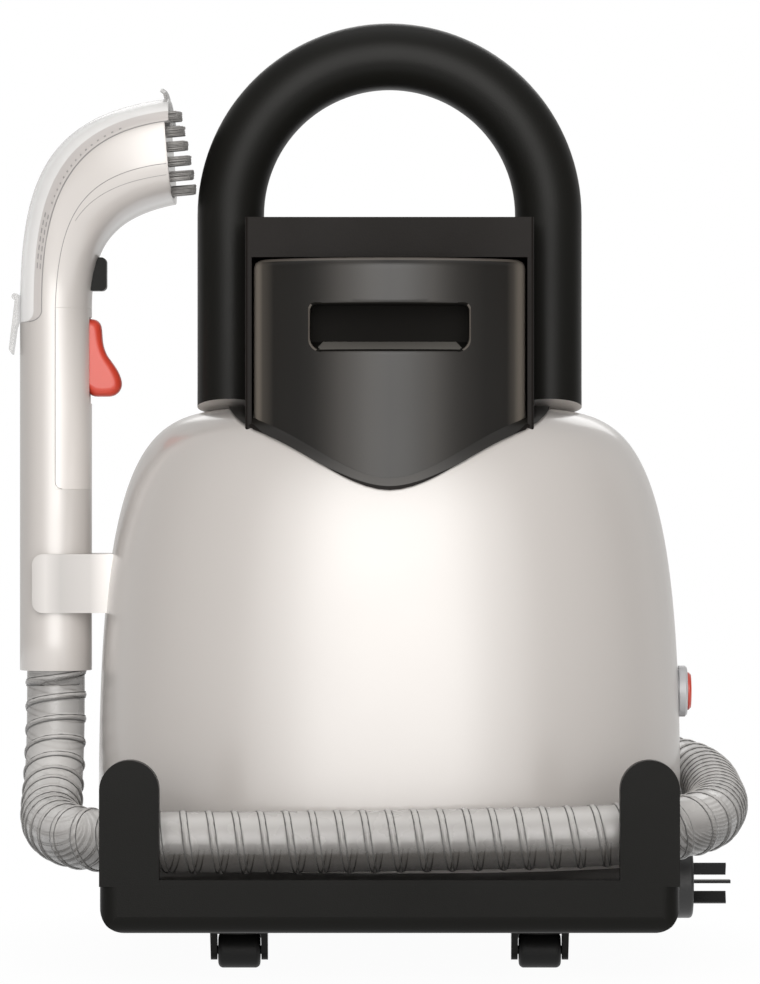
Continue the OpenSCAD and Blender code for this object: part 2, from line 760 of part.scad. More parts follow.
module dirty_tank() color([0.13, 0.12, 0.11, 0.75]) difference() {
    low = tank_edge(0) - 10;
    edge_r = 6;
    edge_out = 0.6;
    intersection() {
        translate([0, 0, low]) linear_extrude(tank_top_z - low) tank_plan();
        along_y(-far, far) round_rect([-tank_half - edge_out, low - 20],
            [tank_half + edge_out, tank_top_z], edge_r);
    }
    body_form(tank_gap);
    difference() {
        translate([0, 0, low]) linear_extrude(lid_step - 3 - low) tank_plan(-tank_wall);
        body_form(tank_gap + tank_wall);
        slot_pocket(pocket_wall);
    }
    slot_pocket(0);
    translate([0, 0, lid_step]) linear_extrude(10) tank_plan(-lid_inset);
    translate([0, 0, lid_step - 4]) linear_extrude(10) tank_plan(-lid_inset - lid_lip);
    for (s = [-1, 1]) bar_y([s * port_x, tank_back - 10, port_z], 20, port_d);
}

module lid_seal() color([0.25, 0.25, 0.26])
    translate([0, 0, lid_step]) linear_extrude(seal_t) difference() {
        tank_plan(-lid_inset - face_gap);
        tank_plan(-lid_inset - lid_lip);
    }

module dirty_tank_lid() color([0.12, 0.12, 0.12]) {
    plate_z = lid_step + seal_t;
    translate([0, 0, plate_z]) linear_extrude(tank_top_z - plate_z) tank_plan(-lid_inset - face_gap);
}

cage = [-port_x, -3];
cage_r = 13;
cage_z = body_top + 20;
float_r = 9;
float_h = 14;
module float_cage() color([0.9, 0.9, 0.88, 0.8]) {
    top = lid_step + seal_t;
    translate([cage.x, cage.y, 0]) difference() {
        translate([0, 0, cage_z]) cylinder(h = top - cage_z, r = cage_r);
        translate([0, 0, cage_z + 2]) cylinder(h = top - cage_z, r = float_r + 0.5);
        for (a = [0:60:150]) rotate([0, 0, a])
            translate([-far, -2.5, cage_z + 5]) cube([2 * far, 5, top - cage_z - 12]);
    }
}

module tank_float() color([0.95, 0.6, 0.15])
    translate([cage.x, cage.y, cage_z + 2]) cylinder(h = float_h, r = float_r);

// ---- clean tank ------------------------------------------------------------------------------

cap_y = clean_front + 17;
cap_r = 16;
neck_r = 12.5;
neck_wall = 2.5;
notch = [38, 36, 19];
valve_x = 50;
valve_z = clean_z + 12;
valve_d = 11;
valve_l = 8;
valve_cup_d = valve_d + 2 * slide_gap + 4;

module clean_tank() color([0.75, 0.85, 0.92, 0.6]) difference() {
    notch_z = clean_z + clean_h - notch.z;
    union() {
        difference() {
            intersection() {
                body_form();
                clean_block(0);
            }
            difference() {
                intersection() {
                    body_form(-clean_wall);
                    clean_block(-clean_wall);
                }
                translate([-notch.x / 2 - clean_wall, clean_front - 1, notch_z - clean_wall])
                    cube([notch.x + 2 * clean_wall, notch.y + clean_wall, notch.z + 2 * clean_wall]);
            }
            translate([-notch.x / 2, clean_front - 1, notch_z])
                cube([notch.x, notch.y, notch.z + 1]);
        }
        translate([0, cap_y, notch_z]) cylinder(h = 12, r = neck_r);
    }
    translate([0, cap_y, notch_z - clean_wall - 1]) cylinder(h = 20, r = neck_r - neck_wall);
    bar_y([valve_x, clean_front - 1, valve_z], clean_wall + 2, valve_d - 3);
}

module filler_cap() color([0.1, 0.35, 0.6]) {
    z = clean_z + clean_h - notch.z + 1.5;
    ribs = 24;
    translate([0, cap_y, z]) difference() {
        cylinder(h = notch.z - 3, r = cap_r);
        translate([0, 0, -1]) cylinder(h = 12, r = neck_r + bush_gap);
        for (i = [0:ribs - 1]) rotate([0, 0, 360 * i / ribs])
            translate([cap_r, 0, 2]) cylinder(h = far, r = 0.8);
    }
}

module outlet_valve() color([0.3, 0.3, 0.32]) {
    bar_y([valve_x, clean_front - valve_l, valve_z], valve_l, valve_d);
    bar_y([valve_x, clean_front - 0.1, valve_z], clean_wall + 4, valve_d - 3 - 2 * bush_gap);
}

// ---- fan, pump and ducts ---------------------------------------------------------------------

shaft_d = 6;
module fan_motor() color([0.55, 0.57, 0.6]) translate([fan_x, fan_y, 0]) difference() {
    union() {
        translate([0, 0, floor_z]) cylinder(h = motor_h - 6, r = motor_r);
        translate([0, 0, floor_z]) cylinder(h = motor_h, r = motor_r - 8);
        for (a = [0:30:330]) rotate([0, 0, a])
            translate([motor_r - 1, -1.5, floor_z + 10]) cube([3, 3, motor_h - 26]);
    }
    translate([0, 0, floor_z + 20]) cylinder(h = motor_h, d = shaft_d + 2 * bush_gap);
}

module impeller() color([0.8, 0.8, 0.82]) translate([fan_x, fan_y, 0]) {
    blades = 9;
    hub_z = fan_z + 8;
    translate([0, 0, floor_z + 24]) cylinder(h = hub_z - floor_z - 24 + 14, d = shaft_d);
    translate([0, 0, hub_z]) cylinder(h = 2, r = fan_r - 9);
    translate([0, 0, hub_z]) cylinder(h = 14, r = 9);
    for (i = [0:blades - 1]) rotate([0, 0, 360 * i / blades])
        translate([7, -1, hub_z]) rotate([0, 0, -28]) cube([fan_r - 18, 2, 13]);
}

module fan_housing() color([0.25, 0.26, 0.28]) translate([fan_x, fan_y, 0]) difference() {
    wall = 3;
    union() {
        translate([0, 0, fan_z]) cylinder(h = fan_h, r = fan_r);
        translate([0, 0, fan_z + fan_h - 1]) cylinder(h = 7, d = duct_d + 8);
    }
    translate([0, 0, fan_z + wall]) cylinder(h = fan_h - 2 * wall, r = fan_r - wall);
    translate([0, 0, fan_z - 1]) cylinder(h = wall + 2, d = shaft_d + 6);
    translate([0, 0, fan_z + fan_h - wall - 1]) cylinder(h = 20, d = port_d);
    for (a = [0:45:315]) rotate([0, 0, a])
        translate([fan_r - 8, -7, fan_z + 8]) cube([20, 14, fan_h - 16]);
}

duct_straight = 225;
duct_drop = 104;
duct_top = 236;
duct_low = 157;
DUCT_BEND = [[-27.5, 29, 212], [-34, 8, 190], [-41, -13.5, 177], [-44.6, -23.8, 165.5]];
module fan_duct() color([0.3, 0.31, 0.33])
    pipe(concat([[-port_x, duct_y, body_top], [-port_x, duct_y, duct_top]], DUCT_BEND,
        [[fan_x, fan_y, duct_low], [fan_x, fan_y, fan_z + fan_h + 6 + face_gap]]), duct_d, port_d);

module suction_duct() color([0.3, 0.31, 0.33])
    pipe([[port_x, duct_y, body_top], [port_x, duct_y, duct_straight], [port_x, duct_y, duct_drop],
        [elbow_x, 66, elbow_z],
        [elbow_x, elbow_in, elbow_z]], duct_d, port_d);

pump = [72, -30];
pump_foot = [52, 36, 4];
pump_stand = [40, 24, 14];
pump_axis = 20;
pump_l = 50;
pump_d = 32;
pump_stub_d = 12;
pump_stub_h = 20;
pump_outlet = 16;
module water_pump() color([0.5, 0.52, 0.55]) translate([pump.x, pump.y, floor_z]) {
    translate([-pump_foot.x / 2, -pump_foot.y / 2, 0]) cube(pump_foot);
    translate([-pump_stand.x / 2, -pump_stand.y / 2, 0]) cube(pump_stand);
    bar_x([-pump_l / 2, 0, pump_axis], pump_l, pump_d);
    for (x = [0, pump_outlet])
        translate([x, 0, pump_axis]) cylinder(h = pump_stub_h, d = pump_stub_d);
}

// Feed from the clean tank's valve to the pump, and the solution line from the pump to the elbow.
tube_d = 8;
tube_seat = 2.2;
feed_back = 10;
feed_rise = 16;
SOLUTION_BEND = [[104, 0, 78], [104, 48, 80], [92, 68, 86]];
module water_tubes() color([0.85, 0.86, 0.88]) {
    pump_top = floor_z + pump_axis + pump_stub_h + tube_seat;
    difference() {
        bar_y([valve_x, clean_front - valve_l - 4, valve_z], valve_l + 4 - recess_gap, valve_cup_d);
        bar_y([valve_x, clean_front - valve_l - slide_gap, valve_z], far, valve_d + 2 * slide_gap);
    }
    rod([[valve_x, clean_front - valve_l - 4, valve_z], [valve_x, feed_back, valve_z],
        [pump.x, pump.y, pump_top + feed_rise], [pump.x, pump.y, pump_top]], tube_d);
    rod(concat([[pump.x + pump_outlet, pump.y, pump_top],
        [pump.x + pump_outlet, pump.y, pump_top + tube_d]], SOLUTION_BEND,
        [[elbow_x + duct_d / 2 + 3.5, 72, elbow_z]]), tube_d);
}

board = [30, 6];
board_size = [64, 1.6, 56];
relay_at = [6, 8];
relay_size = [18, 12, 14];
driver_at = [32, 24];
driver_size = [24, 9, 10];
module circuit_board() color([0.1, 0.4, 0.2]) translate([board.x, board.y, floor_z]) {
    cube(board_size);
    board_part(relay_at, relay_size);
    board_part(driver_at, driver_size);
}

// A component on the board's front, sunk a little into it.
board_sink = 0.2;
module board_part(at, size) color([0.15, 0.15, 0.15]) translate([at.x, -size.y, at.y])
    cube([size.x, size.y + board_sink, size.z]);

// ---- hose elbow, hose and mains cord ---------------------------------------------------------

elbow_out_r = hose_d / 2 + elbow_wall - 1.5;
elbow_bore_r = elbow_out_r - elbow_wall;
elbow_in = 86;

module ring() {
    difference() {
        circle(elbow_out_r);
        circle(elbow_bore_r);
    }
}

module hose_elbow() color([0.1, 0.1, 0.11]) {
    bend_y = hose_back_y - elbow_bend;
    translate([elbow_x + elbow_bend, bend_y, elbow_z]) rotate([0, 0, 90])
        rotate_extrude(angle = 90) translate([elbow_bend, 0]) ring();
    translate([elbow_x, elbow_in, elbow_z]) rotate([-90, 0, 0]) linear_extrude(bend_y - elbow_in) ring();
    translate([elbow_x + elbow_bend, hose_back_y, elbow_z]) rotate([0, 90, 0])
        linear_extrude(elbow_collar) ring();
}

module suction_hose() color([0.72, 0.72, 0.72])
    skin(tube_rings(smooth_route(HOSE_ROUTE, 2), hose_d / 2, 12));

// Strain relief, leaning along the base's back towards the wound cord.
module cord_grommet() color([0.08, 0.08, 0.08]) translate(gland) {
    bar_y([0, 0, 0], 3, 14);
    translate([0, 4.8, 0]) rotate([0, 0, gland_turn]) rotate([-90, 0, 0])
        cylinder(h = gland_l, d1 = 11, d2 = cord_d + 2);
    bar_y([0, 0, 0], 5.5, 8);
}

module cord_hooks() color([0.08, 0.08, 0.09])
    for (s = [-1, 1]) translate([hank_x + s * hank_straight, base_back_y, 0]) {
        tab_w = 30;
        tab_h = 66;
        bar_y([0, 0, hank_z], hook_depth - 0.5, 2 * hank_hole - 0.6);
        along_y(0, hook_back)
            round_rect([-tab_w / 2, base_z + 2], [tab_w / 2, hank_z + 12], 4);
        along_y(hook_depth - hook_plate, hook_depth)
            round_rect([-tab_w / 2, hank_z - tab_h / 2], [tab_w / 2, hank_z + tab_h / 2], 8);
    }

// Stadium in XZ round the wound cord's middle.
module stadium(r) {
    translate([hank_x - hank_straight, hank_z - r]) square([2 * hank_straight, 2 * r]);
    for (s = [-1, 1]) translate([hank_x + s * hank_straight, hank_z]) circle(r);
}

module mains_cord_hank() color([0.07, 0.07, 0.07])
    along_y(hank_y - hank_t / 2, hank_y + hank_t / 2) difference() {
        stadium(hank_h / 2);
        stadium(hank_hole);
    }

module mains_cord_lead() color([0.07, 0.07, 0.07])
    skin(tube_rings(smooth_route(LEAD_ROUTE, 2), cord_d / 2, 8));

module mains_cord_tail() color([0.07, 0.07, 0.07])
    skin(tube_rings(smooth_route(TAIL_ROUTE, 2), cord_d / 2, 8));

module plug_body() color([0.06, 0.06, 0.06])
    translate([plug_x, plug_y, plug_z]) rotate([0, 90, 0]) rotate_extrude() {
        l = plug_face - plug_x;
        polygon([[0, 0], [5, 0], [6.5, 8], [plug_r - 3, 14], [plug_r - 3, l], [0, l]]);
        translate([0, 16]) square([plug_r, l - 18]);
        for (z = [16, l - 2]) translate([plug_r - 2, z]) circle(2);
    }

blade_w = 6.3;
blade_t = 1.6;

module plug_blades() color([0.2, 0.2, 0.2]) {
    for (s = [-1, 1]) translate([plug_face, plug_y - 3.5, plug_z + s * 7.2]) rotate([s * 30, 0, 0])
        translate([0, -blade_t / 2, -blade_w / 2]) cube([16.8, blade_t, blade_w]);
    translate([plug_face, plug_y + 3.8, plug_z - blade_t / 2]) cube([19.8, blade_w, blade_t]);
}

// ---- wand ------------------------------------------------------------------------------------

module wand_skin() {
    translate([-wand_x, 0, wand_z]) cylinder(h = head_z - wand_z, r = wand_d / 2);
    skin([for (k = [0:head_steps]) head_ring(k / head_steps, 0)]);
}

// Hollow of the wand, open at the foot and at the mouth.
module wand_bore() {
    beyond = 1.04;
    translate([-wand_x, 0, wand_z - 1])
        cylinder(h = head_z - wand_z + 1.5, r = wand_d / 2 - wand_wall);
    skin([for (k = [0:head_steps]) head_ring(beyond * k / head_steps, wand_wall)]);
}

cover_from = 0.02;
cover_to = 0.99;

// Strip of the head's back, from inset outer to inset inner, wrapped to the given angle.
module head_strip(from, to, outer, inner, angle) {
    steps = 14;
    skin([for (k = [0:steps]) strip_ring(from + (to - from) * k / steps, outer, inner, angle, 10)]);
}

module wand_front_half() color([0.95, 0.95, 0.94]) difference() {
    intersection() {
        wand_skin();
        half_space_y(-far, 0);
    }
    wand_bore();
    head_strip(cover_from - 0.005, 1.02, -2, wand_wall + 1, cover_angle + 0.8);
    // seat of the grip panel
    translate([-wand_x + 0.8, -far, insert_z]) intersection() {
        cube([far, 2 * far, insert_top - insert_z]);
        translate([-0.8, far, -1]) difference() {
            cylinder(h = far, r = wand_d);
            translate([0, 0, -1]) cylinder(h = far + 2, r = wand_d / 2 - insert_t - 0.1);
        }
    }
    trigger_opening();
    bar_y([trigger_pivot.x, -14, trigger_pivot.y], 28, trigger_pin_d + 0.04);
    button_opening();
}

module trigger_opening() {
    translate([-wand_x + 8, -trigger_half - 0.6, trigger_window[0]])
        cube([40, 2 * trigger_half + 1.2, trigger_window[1] - trigger_window[0]]);
}

module button_opening() {
    translate([-wand_x + 8, -button_half - face_gap, button_window[0] - face_gap])
        cube([40, 2 * (button_half + face_gap), button_window[1] - button_window[0] + 2 * face_gap]);
}

module wand_rear_half() mirror([0, 1, 0]) wand_front_half();

module wand_cuff() color([0.4, 0.4, 0.42]) translate([-wand_x, 0, wand_z]) difference() {
    cylinder(h = 24, r = wand_d / 2 - wand_wall - bush_gap);
    translate([0, 0, -1]) cylinder(h = 26, r = wand_d / 2 - wand_wall - 2);
}

module grip_insert() color([0.9, 0.9, 0.9]) difference() {
    translate([-wand_x, 0, insert_z + face_gap]) intersection() {
        difference() {
            cylinder(h = insert_top - insert_z - 2 * face_gap, r = wand_d / 2);
            translate([0, 0, -1]) cylinder(h = far, r = wand_d / 2 - insert_t);
        }
        translate([1.1, -far, -1]) cube([far, 2 * far, far]);
    }
    trigger_opening();
}

module nozzle_cover() color([0.8, 0.84, 0.86, 0.5]) {
    head_strip(cover_from, cover_to, 0, wand_wall - 0.6, cover_angle);
    lip();
}

// Suction lip across the top of the mouth.
module lip() {
    o = cubic(head_outer, cover_to);
    intersection() {
        translate([o.x - 3.4, -mouth_half + 3, o.y - 5]) cube([3.4, 2 * mouth_half - 6, 11.5]);
        translate([o.x, 0, o.y - 34]) rotate([0, -90, 0]) cylinder(h = 20, r = mouth_half);
    }
}

module nozzle_latch() color([0.85, 0.85, 0.84]) {
    back = -wand_x - wand_d / 2;
    along_y(-7, 7) {
        polygon([[back - face_gap, 316], [back - 1.8, 316], [back - 3, 306], [-latch_reach, 290],
            [-latch_reach + 1.6, 287.5], [back - 1.6, 300], [back - face_gap, 304]]);
        translate(latch_pivot) circle(d = latch_barrel);
    }
}

mouth_angle = 5;
slot_drop = 10;
bristle_rows = 6;
bristle_cols = 9;
bristle_d = 4.6;
module bristle_strip() color([0.55, 0.56, 0.57]) {
    low = cubic(head_inner, 1);
    high = cubic(head_outer, 1);
    intersection() {
        skin([for (t = [0.94, 0.985]) head_ring(t, wand_wall + 0.35)]);
        translate([-far, -far, 0]) cube([2 * far, 2 * far, high.y - slot_drop]);
    }
    for (r = [0:bristle_rows - 1], c = [0:bristle_cols - 1])
        let (f = (r + 0.95) / (bristle_rows + 1.5), p = low + (high - low) * f,
            pitch = r == 0 ? 4.9 : 7.6)
        translate([p.x - 3, (c - (bristle_cols - 1) / 2) * pitch, p.y])
            rotate([0, 90 - mouth_angle, 0]) cylinder(h = bristle_l + 1, d = bristle_d, $fn = 12);
}

module spray_nozzle() color([0.3, 0.3, 0.32]) {
    nozzle_d = 7;
    seat = cubic(head_inner, 0.85);
    bar_x([seat.x - 5, 0, seat.y + wand_wall + nozzle_d / 2 + 0.2], 5, nozzle_d);
}

module trigger() color([0.93, 0.35, 0.28]) difference() {
    tip = [-134.5, 273.4];
    tip_r = 6.7;
    along_y(-trigger_half, trigger_half) polygon(concat(
        [[-156, 304.6], [-156, 293], [-148.5, 276], [-143, 267.2]],
        [for (a = [-100:10:30]) tip + tip_r * [cos(a), sin(a)]],
        [[-133.2, 285.5], [-136.7, 294.5], [-137.4, 304.6]]));
    bar_y([trigger_pivot.x, -far, trigger_pivot.y], 2 * far, trigger_pin_d + 2 * bush_gap);
}

module trigger_pin() color([0.7, 0.7, 0.72])
    bar_y([trigger_pivot.x, -10.9, trigger_pivot.y], 21.8, trigger_pin_d);

module spray_valve() color([0.35, 0.36, 0.38]) {
    back = -wand_x - sqrt(pow(wand_d / 2 - wand_wall, 2) - 25) + 0.1;
    bar_x([back, 0, 285], -157.4 - back, 10);
}

module wand_button() color([0.05, 0.05, 0.05])
    along_y(-button_half, button_half)
        round_rect([-149, button_window[0]], [-135.7, button_window[1]], 2.4);

// ---- assembly --------------------------------------------------------------------------------

module placed() translate([-centre_x, -centre_y, 0]) children();

placed() base_tray();
placed() front_shell();
placed() rear_shell();
placed() clean_tank_bay();
placed() crown_frame();
placed() handle_front_half();
placed() handle_rear_half();
placed() wand_clip();
placed() switch_bezel();
placed() switch_module();
placed() fan_motor();
placed() fan_housing();
placed() impeller();
placed() exhaust_grille();
placed() water_pump();
placed() water_tubes();
placed() circuit_board();
placed() suction_duct();
placed() fan_duct();
placed() hose_elbow();
placed() cord_hooks();
placed() cord_grommet();
placed() housing_screws();
placed() caster_sockets();
placed() port_gaskets();
placed() suction_hose();
placed() mains_cord_hank();
placed() mains_cord_lead();
placed() mains_cord_tail();
placed() plug_body();
placed() plug_blades();
placed() power_button();
placed() caster_fork(CASTERS[0]);  // caster_fork_fl
placed() caster_fork(CASTERS[1]);  // caster_fork_fr
placed() caster_fork(CASTERS[2]);  // caster_fork_rl
placed() caster_fork(CASTERS[3]);  // caster_fork_rr
placed() caster_wheel(CASTERS[0]);  // caster_wheel_fl
placed() caster_wheel(CASTERS[1]);  // caster_wheel_fr
placed() caster_wheel(CASTERS[2]);  // caster_wheel_rl
placed() caster_wheel(CASTERS[3]);  // caster_wheel_rr
placed() dirty_tank();
placed() dirty_tank_lid();
placed() lid_seal();
placed() float_cage();
placed() tank_float();
placed() clean_tank();
placed() filler_cap();
placed() outlet_valve();
placed() wand_front_half();
placed() wand_rear_half();
placed() wand_cuff();
placed() grip_insert();
placed() nozzle_cover();
placed() nozzle_latch();
placed() bristle_strip();
placed() spray_nozzle();
placed() trigger();
placed() trigger_pin();
placed() spray_valve();
placed() wand_button();
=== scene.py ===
"""Carpet and upholstery spot cleaner: camera, light, cords, skins and materials round the CAD frame."""

import contextlib
import json
import random
from math import acos, atan2, copysign, cos, degrees, hypot, pi, radians, sin, sqrt, tau

import bmesh
import bpy
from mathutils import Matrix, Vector


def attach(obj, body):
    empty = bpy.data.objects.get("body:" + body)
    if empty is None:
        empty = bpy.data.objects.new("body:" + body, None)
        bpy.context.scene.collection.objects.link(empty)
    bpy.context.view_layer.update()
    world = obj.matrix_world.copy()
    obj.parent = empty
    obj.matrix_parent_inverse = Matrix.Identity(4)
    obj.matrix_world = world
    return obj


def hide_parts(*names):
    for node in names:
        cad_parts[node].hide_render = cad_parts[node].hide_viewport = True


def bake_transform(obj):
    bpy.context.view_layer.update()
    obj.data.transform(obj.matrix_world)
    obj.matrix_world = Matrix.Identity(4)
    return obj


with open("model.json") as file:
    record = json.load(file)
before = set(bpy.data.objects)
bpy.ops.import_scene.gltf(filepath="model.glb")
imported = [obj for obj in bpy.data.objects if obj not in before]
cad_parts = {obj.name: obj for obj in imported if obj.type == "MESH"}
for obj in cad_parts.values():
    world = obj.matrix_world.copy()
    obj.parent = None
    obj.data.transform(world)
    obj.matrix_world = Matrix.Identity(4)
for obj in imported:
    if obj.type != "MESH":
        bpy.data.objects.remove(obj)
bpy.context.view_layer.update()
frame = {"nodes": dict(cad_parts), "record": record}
NODES = frame["nodes"]
scene = bpy.context.scene

MM = 0.001
# The drawing's numbers are millimetres from the middle of the white body; the frame lies SHIFT away.
SHIFT = Vector((18.9, -2.0, 0.0))


def at(x, y, z):
    """The frame's place of a point of the drawing."""
    return (Vector((x, y, z)) + SHIFT) * MM


def drawn(point):
    """The drawing's place of a point of the frame."""
    return point / MM - SHIFT


def added(name, data):
    """A new object in the scene."""
    obj = bpy.data.objects.new(name, data)
    scene.collection.objects.link(obj)
    return obj


# ---- camera and light ----

CAMERA_DISTANCE = 2.4
CAMERA_HEIGHT = 0.23
SENSOR = 36.0
VIEW_TALL = 0.47232

camera_data = bpy.data.cameras.new("camera")
camera_data.sensor_fit = "VERTICAL"
camera_data.sensor_height = SENSOR
camera_data.lens = SENSOR * CAMERA_DISTANCE / VIEW_TALL
camera_data.shift_x = -0.0097
camera_data.shift_y = -0.0179
camera = added("camera", camera_data)
camera.location = (SHIFT.x * MM, SHIFT.y * MM - CAMERA_DISTANCE, CAMERA_HEIGHT)
camera.rotation_euler = (pi / 2, 0, 0)
scene.camera = camera
scene.view_settings.view_transform = "Standard"


def area_light(name, place, size, power, aim=(0.02, 0, 0.22)):
    data = bpy.data.lights.new(name, "AREA")
    data.shape = "RECTANGLE"
    data.size, data.size_y = size
    data.energy = power
    lamp = added(name, data)
    lamp.location = place
    lamp.rotation_euler = (Vector(aim) - Vector(place)).to_track_quat("-Z", "Y").to_euler()


area_light("front_panel", (0.02, -2.7, 1.5), (1.2, 1.6), 4)
area_light("top_panel", (0.0, 0.0, 2.2), (1.8, 1.4), 6)
area_light("back_panel", (0.2, 2.2, 1.5), (1.8, 1.0), 7)

# ---- shader helpers ----


def add_node(tree, kind, inputs=(), **settings):
    """A shader node with its settings; inputs gives a socket a value, or another node's output."""
    node = tree.nodes.new("ShaderNode" + kind)
    for key, value in settings.items():
        setattr(node, key, value)
    for key, value in dict(inputs).items():
        if isinstance(value, bpy.types.NodeSocket):
            tree.links.new(value, node.inputs[key])
        else:
            node.inputs[key].default_value = value
    return node


def color_ramp(tree, source, stops):
    """The source, from 0 to 1, as a colour; each stop is a place and its colour."""
    node = add_node(tree, "ValToRGB", {0: source})
    elements = node.color_ramp.elements
    while len(elements) < len(stops):
        elements.new(0.5)
    for element, (place, color) in zip(elements, stops):
        element.position = place
        element.color = (*color, 1)
    return node


def map_range(tree, source, *limits, **settings):
    """The source mapped from two limits onto 0 to 1, or onto what the next limits say."""
    sockets = dict(zip(("From Min", "From Max", "To Min", "To Max"), limits))
    return add_node(tree, "MapRange", {"Value": source, **sockets}, **settings).outputs[0]


def tones(color, *stops):
    """Stops of a ramp: the colour times each level."""
    return [(place, [c * level for c in color]) for place, level in stops]


# The room's brightness round the object, from straight ahead (0) to straight behind (1), as shares of
# ROOM_LEVEL: a bright strip in front, darker flags at its sides, and a pale back wall. Overhead, where
# a direction's height is past the first of OVERHEAD_RISE, it fades to OVERHEAD.
ROOM = ((0.0, 1.0), (0.06, 0.95), (0.15, 0.38), (0.24, 0.06), (0.52, 0.02), (0.68, 0.12), (1.0, 0.14))
ROOM_TINT = (1, 0.985, 0.965)
ROOM_LEVEL = 5.0
OVERHEAD = 0.09
OVERHEAD_RISE = (0.35, 0.85)


def make_world():
    world = bpy.data.worlds.new("studio")
    scene.world = world
    world.use_nodes = True
    tree = world.node_tree
    tree.nodes.clear()

    def math_node(operation, *inputs):
        return add_node(tree, "Math", enumerate(inputs), operation=operation).outputs[0]

    coords = add_node(tree, "TexCoord")
    heading = add_node(tree, "SeparateXYZ", {0: coords.outputs["Generated"]}).outputs
    ahead = math_node("MULTIPLY", heading["Y"], -1.0)
    turn = math_node("ARCTAN2", math_node("ABSOLUTE", heading["X"]), ahead)
    ring = color_ramp(tree, math_node("DIVIDE", turn, pi), tones(ROOM_TINT, *ROOM))
    ring.color_ramp.interpolation = "EASE"
    overhead = map_range(tree, math_node("ABSOLUTE", heading["Z"]), *OVERHEAD_RISE)
    blend = add_node(tree, "Mix", {"Factor": overhead, "A": ring.outputs[0],
                                   "B": (OVERHEAD, OVERHEAD, OVERHEAD, 1)}, data_type="RGBA")
    room = add_node(tree, "Background", {"Strength": ROOM_LEVEL, "Color": blend.outputs["Result"]})
    paper = add_node(tree, "Background", {"Color": (1, 1, 1, 1)})
    direct = add_node(tree, "LightPath").outputs["Is Camera Ray"]
    mix = add_node(tree, "MixShader", {0: direct, 1: room.outputs[0], 2: paper.outputs[0]})
    add_node(tree, "OutputWorld", {0: mix.outputs[0]})


make_world()

# ---- materials ----


class Look:
    """A material being built: its nodes, and helpers for grain, mottling, smudges and painted light and
    shade.
    """

    def __init__(self, name, color, rough, **sockets):
        self.name = name
        self.mat = bpy.data.materials.new(name)
        self.mat.use_nodes = True
        self.tree = self.mat.node_tree
        self.shader = self.tree.nodes["Principled BSDF"]
        self.color = color
        for key, value in {"Base Color": (*color, 1), "Roughness": rough, **sockets}.items():
            self.shader.inputs[key.replace("_", " ")].default_value = value
        self.place = add_node(self.tree, "TexCoord").outputs["Object"]

    def drive(self, socket, source):
        self.tree.links.new(source, self.shader.inputs[socket])
        return self

    def tint(self, source, stops):
        """Colour by a value from 0 to 1."""
        return self.drive("Base Color", color_ramp(self.tree, source, stops).outputs[0])

    def noise(self, scale, detail, stretch=None):
        source = self.place
        if stretch:
            source = add_node(self.tree, "Mapping", {"Vector": source, "Scale": stretch}).outputs[0]
        sockets = {"Vector": source, "Scale": scale, "Detail": detail}
        return add_node(self.tree, "TexNoise", sockets).outputs["Fac"]

    def mottle(self, scale, spread):
        """Slight colour variation round the base colour."""
        low = [c * (1 - spread) for c in self.color]
        high = [min(1, c * (1 + spread)) for c in self.color]
        return self.tint(self.noise(scale, 3.0), [(0.3, low), (0.7, high)])

    def paint_light_from_above(self, stops):
        """Painted light and shade: colour by how far a face looks down (0) or up (1), standing in for light
        from above.
        """
        normal = add_node(self.tree, "NewGeometry").outputs["Normal"]
        rise = add_node(self.tree, "SeparateXYZ", {0: normal}).outputs["Z"]
        return self.tint(map_range(self.tree, rise, -1), stops)

    def paint_light_along(self, axis, low, high, stops):
        """Painted light and shade: colour that changes along one of the object's axes, between two places
        in millimetres.
        """
        shift = SHIFT["XYZ".index(axis)]
        place = add_node(self.tree, "SeparateXYZ", {0: self.place}).outputs[axis]
        return self.tint(map_range(self.tree, place, (low + shift) * MM, (high + shift) * MM), stops)

    def smudge(self, scale, low, high):
        """Roughness that varies as a handled surface's does."""
        return self.drive("Roughness", map_range(self.tree, self.noise(scale, 4.0), 0.3, 0.7, low, high))

    def grain(self, scale, strength, depth=0.0002, stretch=None):
        """Moulded texture of a surface, as bump."""
        height = self.noise(scale, 2.0, stretch)
        bump = add_node(self.tree, "Bump", {"Strength": strength, "Distance": depth, "Height": height})
        return self.drive("Normal", bump.outputs[0])

    def fade_to_white(self, near, away, least):
        """White by least near the middle, where a faint shadow is left, and all white further out."""
        away_from_middle = add_node(self.tree, "VectorMath", {0: self.place}, operation="LENGTH")
        fade = map_range(self.tree, away_from_middle.outputs["Value"], near, away, least,
                         interpolation_type="SMOOTHSTEP")
        light = add_node(self.tree, "Emission").outputs[0]
        mix = add_node(self.tree, "MixShader", {0: fade, 1: self.shader.outputs[0], 2: light})
        self.tree.links.new(mix.outputs[0], self.tree.nodes["Material Output"].inputs["Surface"])
        return self


# Painted reflections: how bright the smoky wall is painted, from the tank's left side (0) to its right side
# (1), with pale streaks, and glints at its sides.
TANK_PAINTED_REFLECTIONS = ((0.0, 22.0), (0.013, 18.0), (0.035, 5.0), (0.075, 1.0), (0.17, 0.75), (0.22, 0.9),
              (0.32, 2.3), (0.42, 2.1), (0.5, 1.0), (0.6, 1.5), (0.66, 2.2), (0.74, 1.4), (0.85, 0.8),
              (0.93, 1.0), (0.955, 4.0), (0.985, 14.0), (1.0, 18.0))
# Painted highlight across the seat under the tank, brightest in its middle.
SEAT_PAINTED_HIGHLIGHT = ((0.25, 1.0), (0.4, 2.6), (0.6, 2.6), (0.75, 1.0))
# Painted light and shade: how bright the matt clip is painted, from the wand (0) to the body (1).
CLIP_PAINTED_LIGHT = ((0.1, 0.85), (0.25, 1.12), (0.41, 0.86), (0.72, 1.0), (0.94, 1.7))
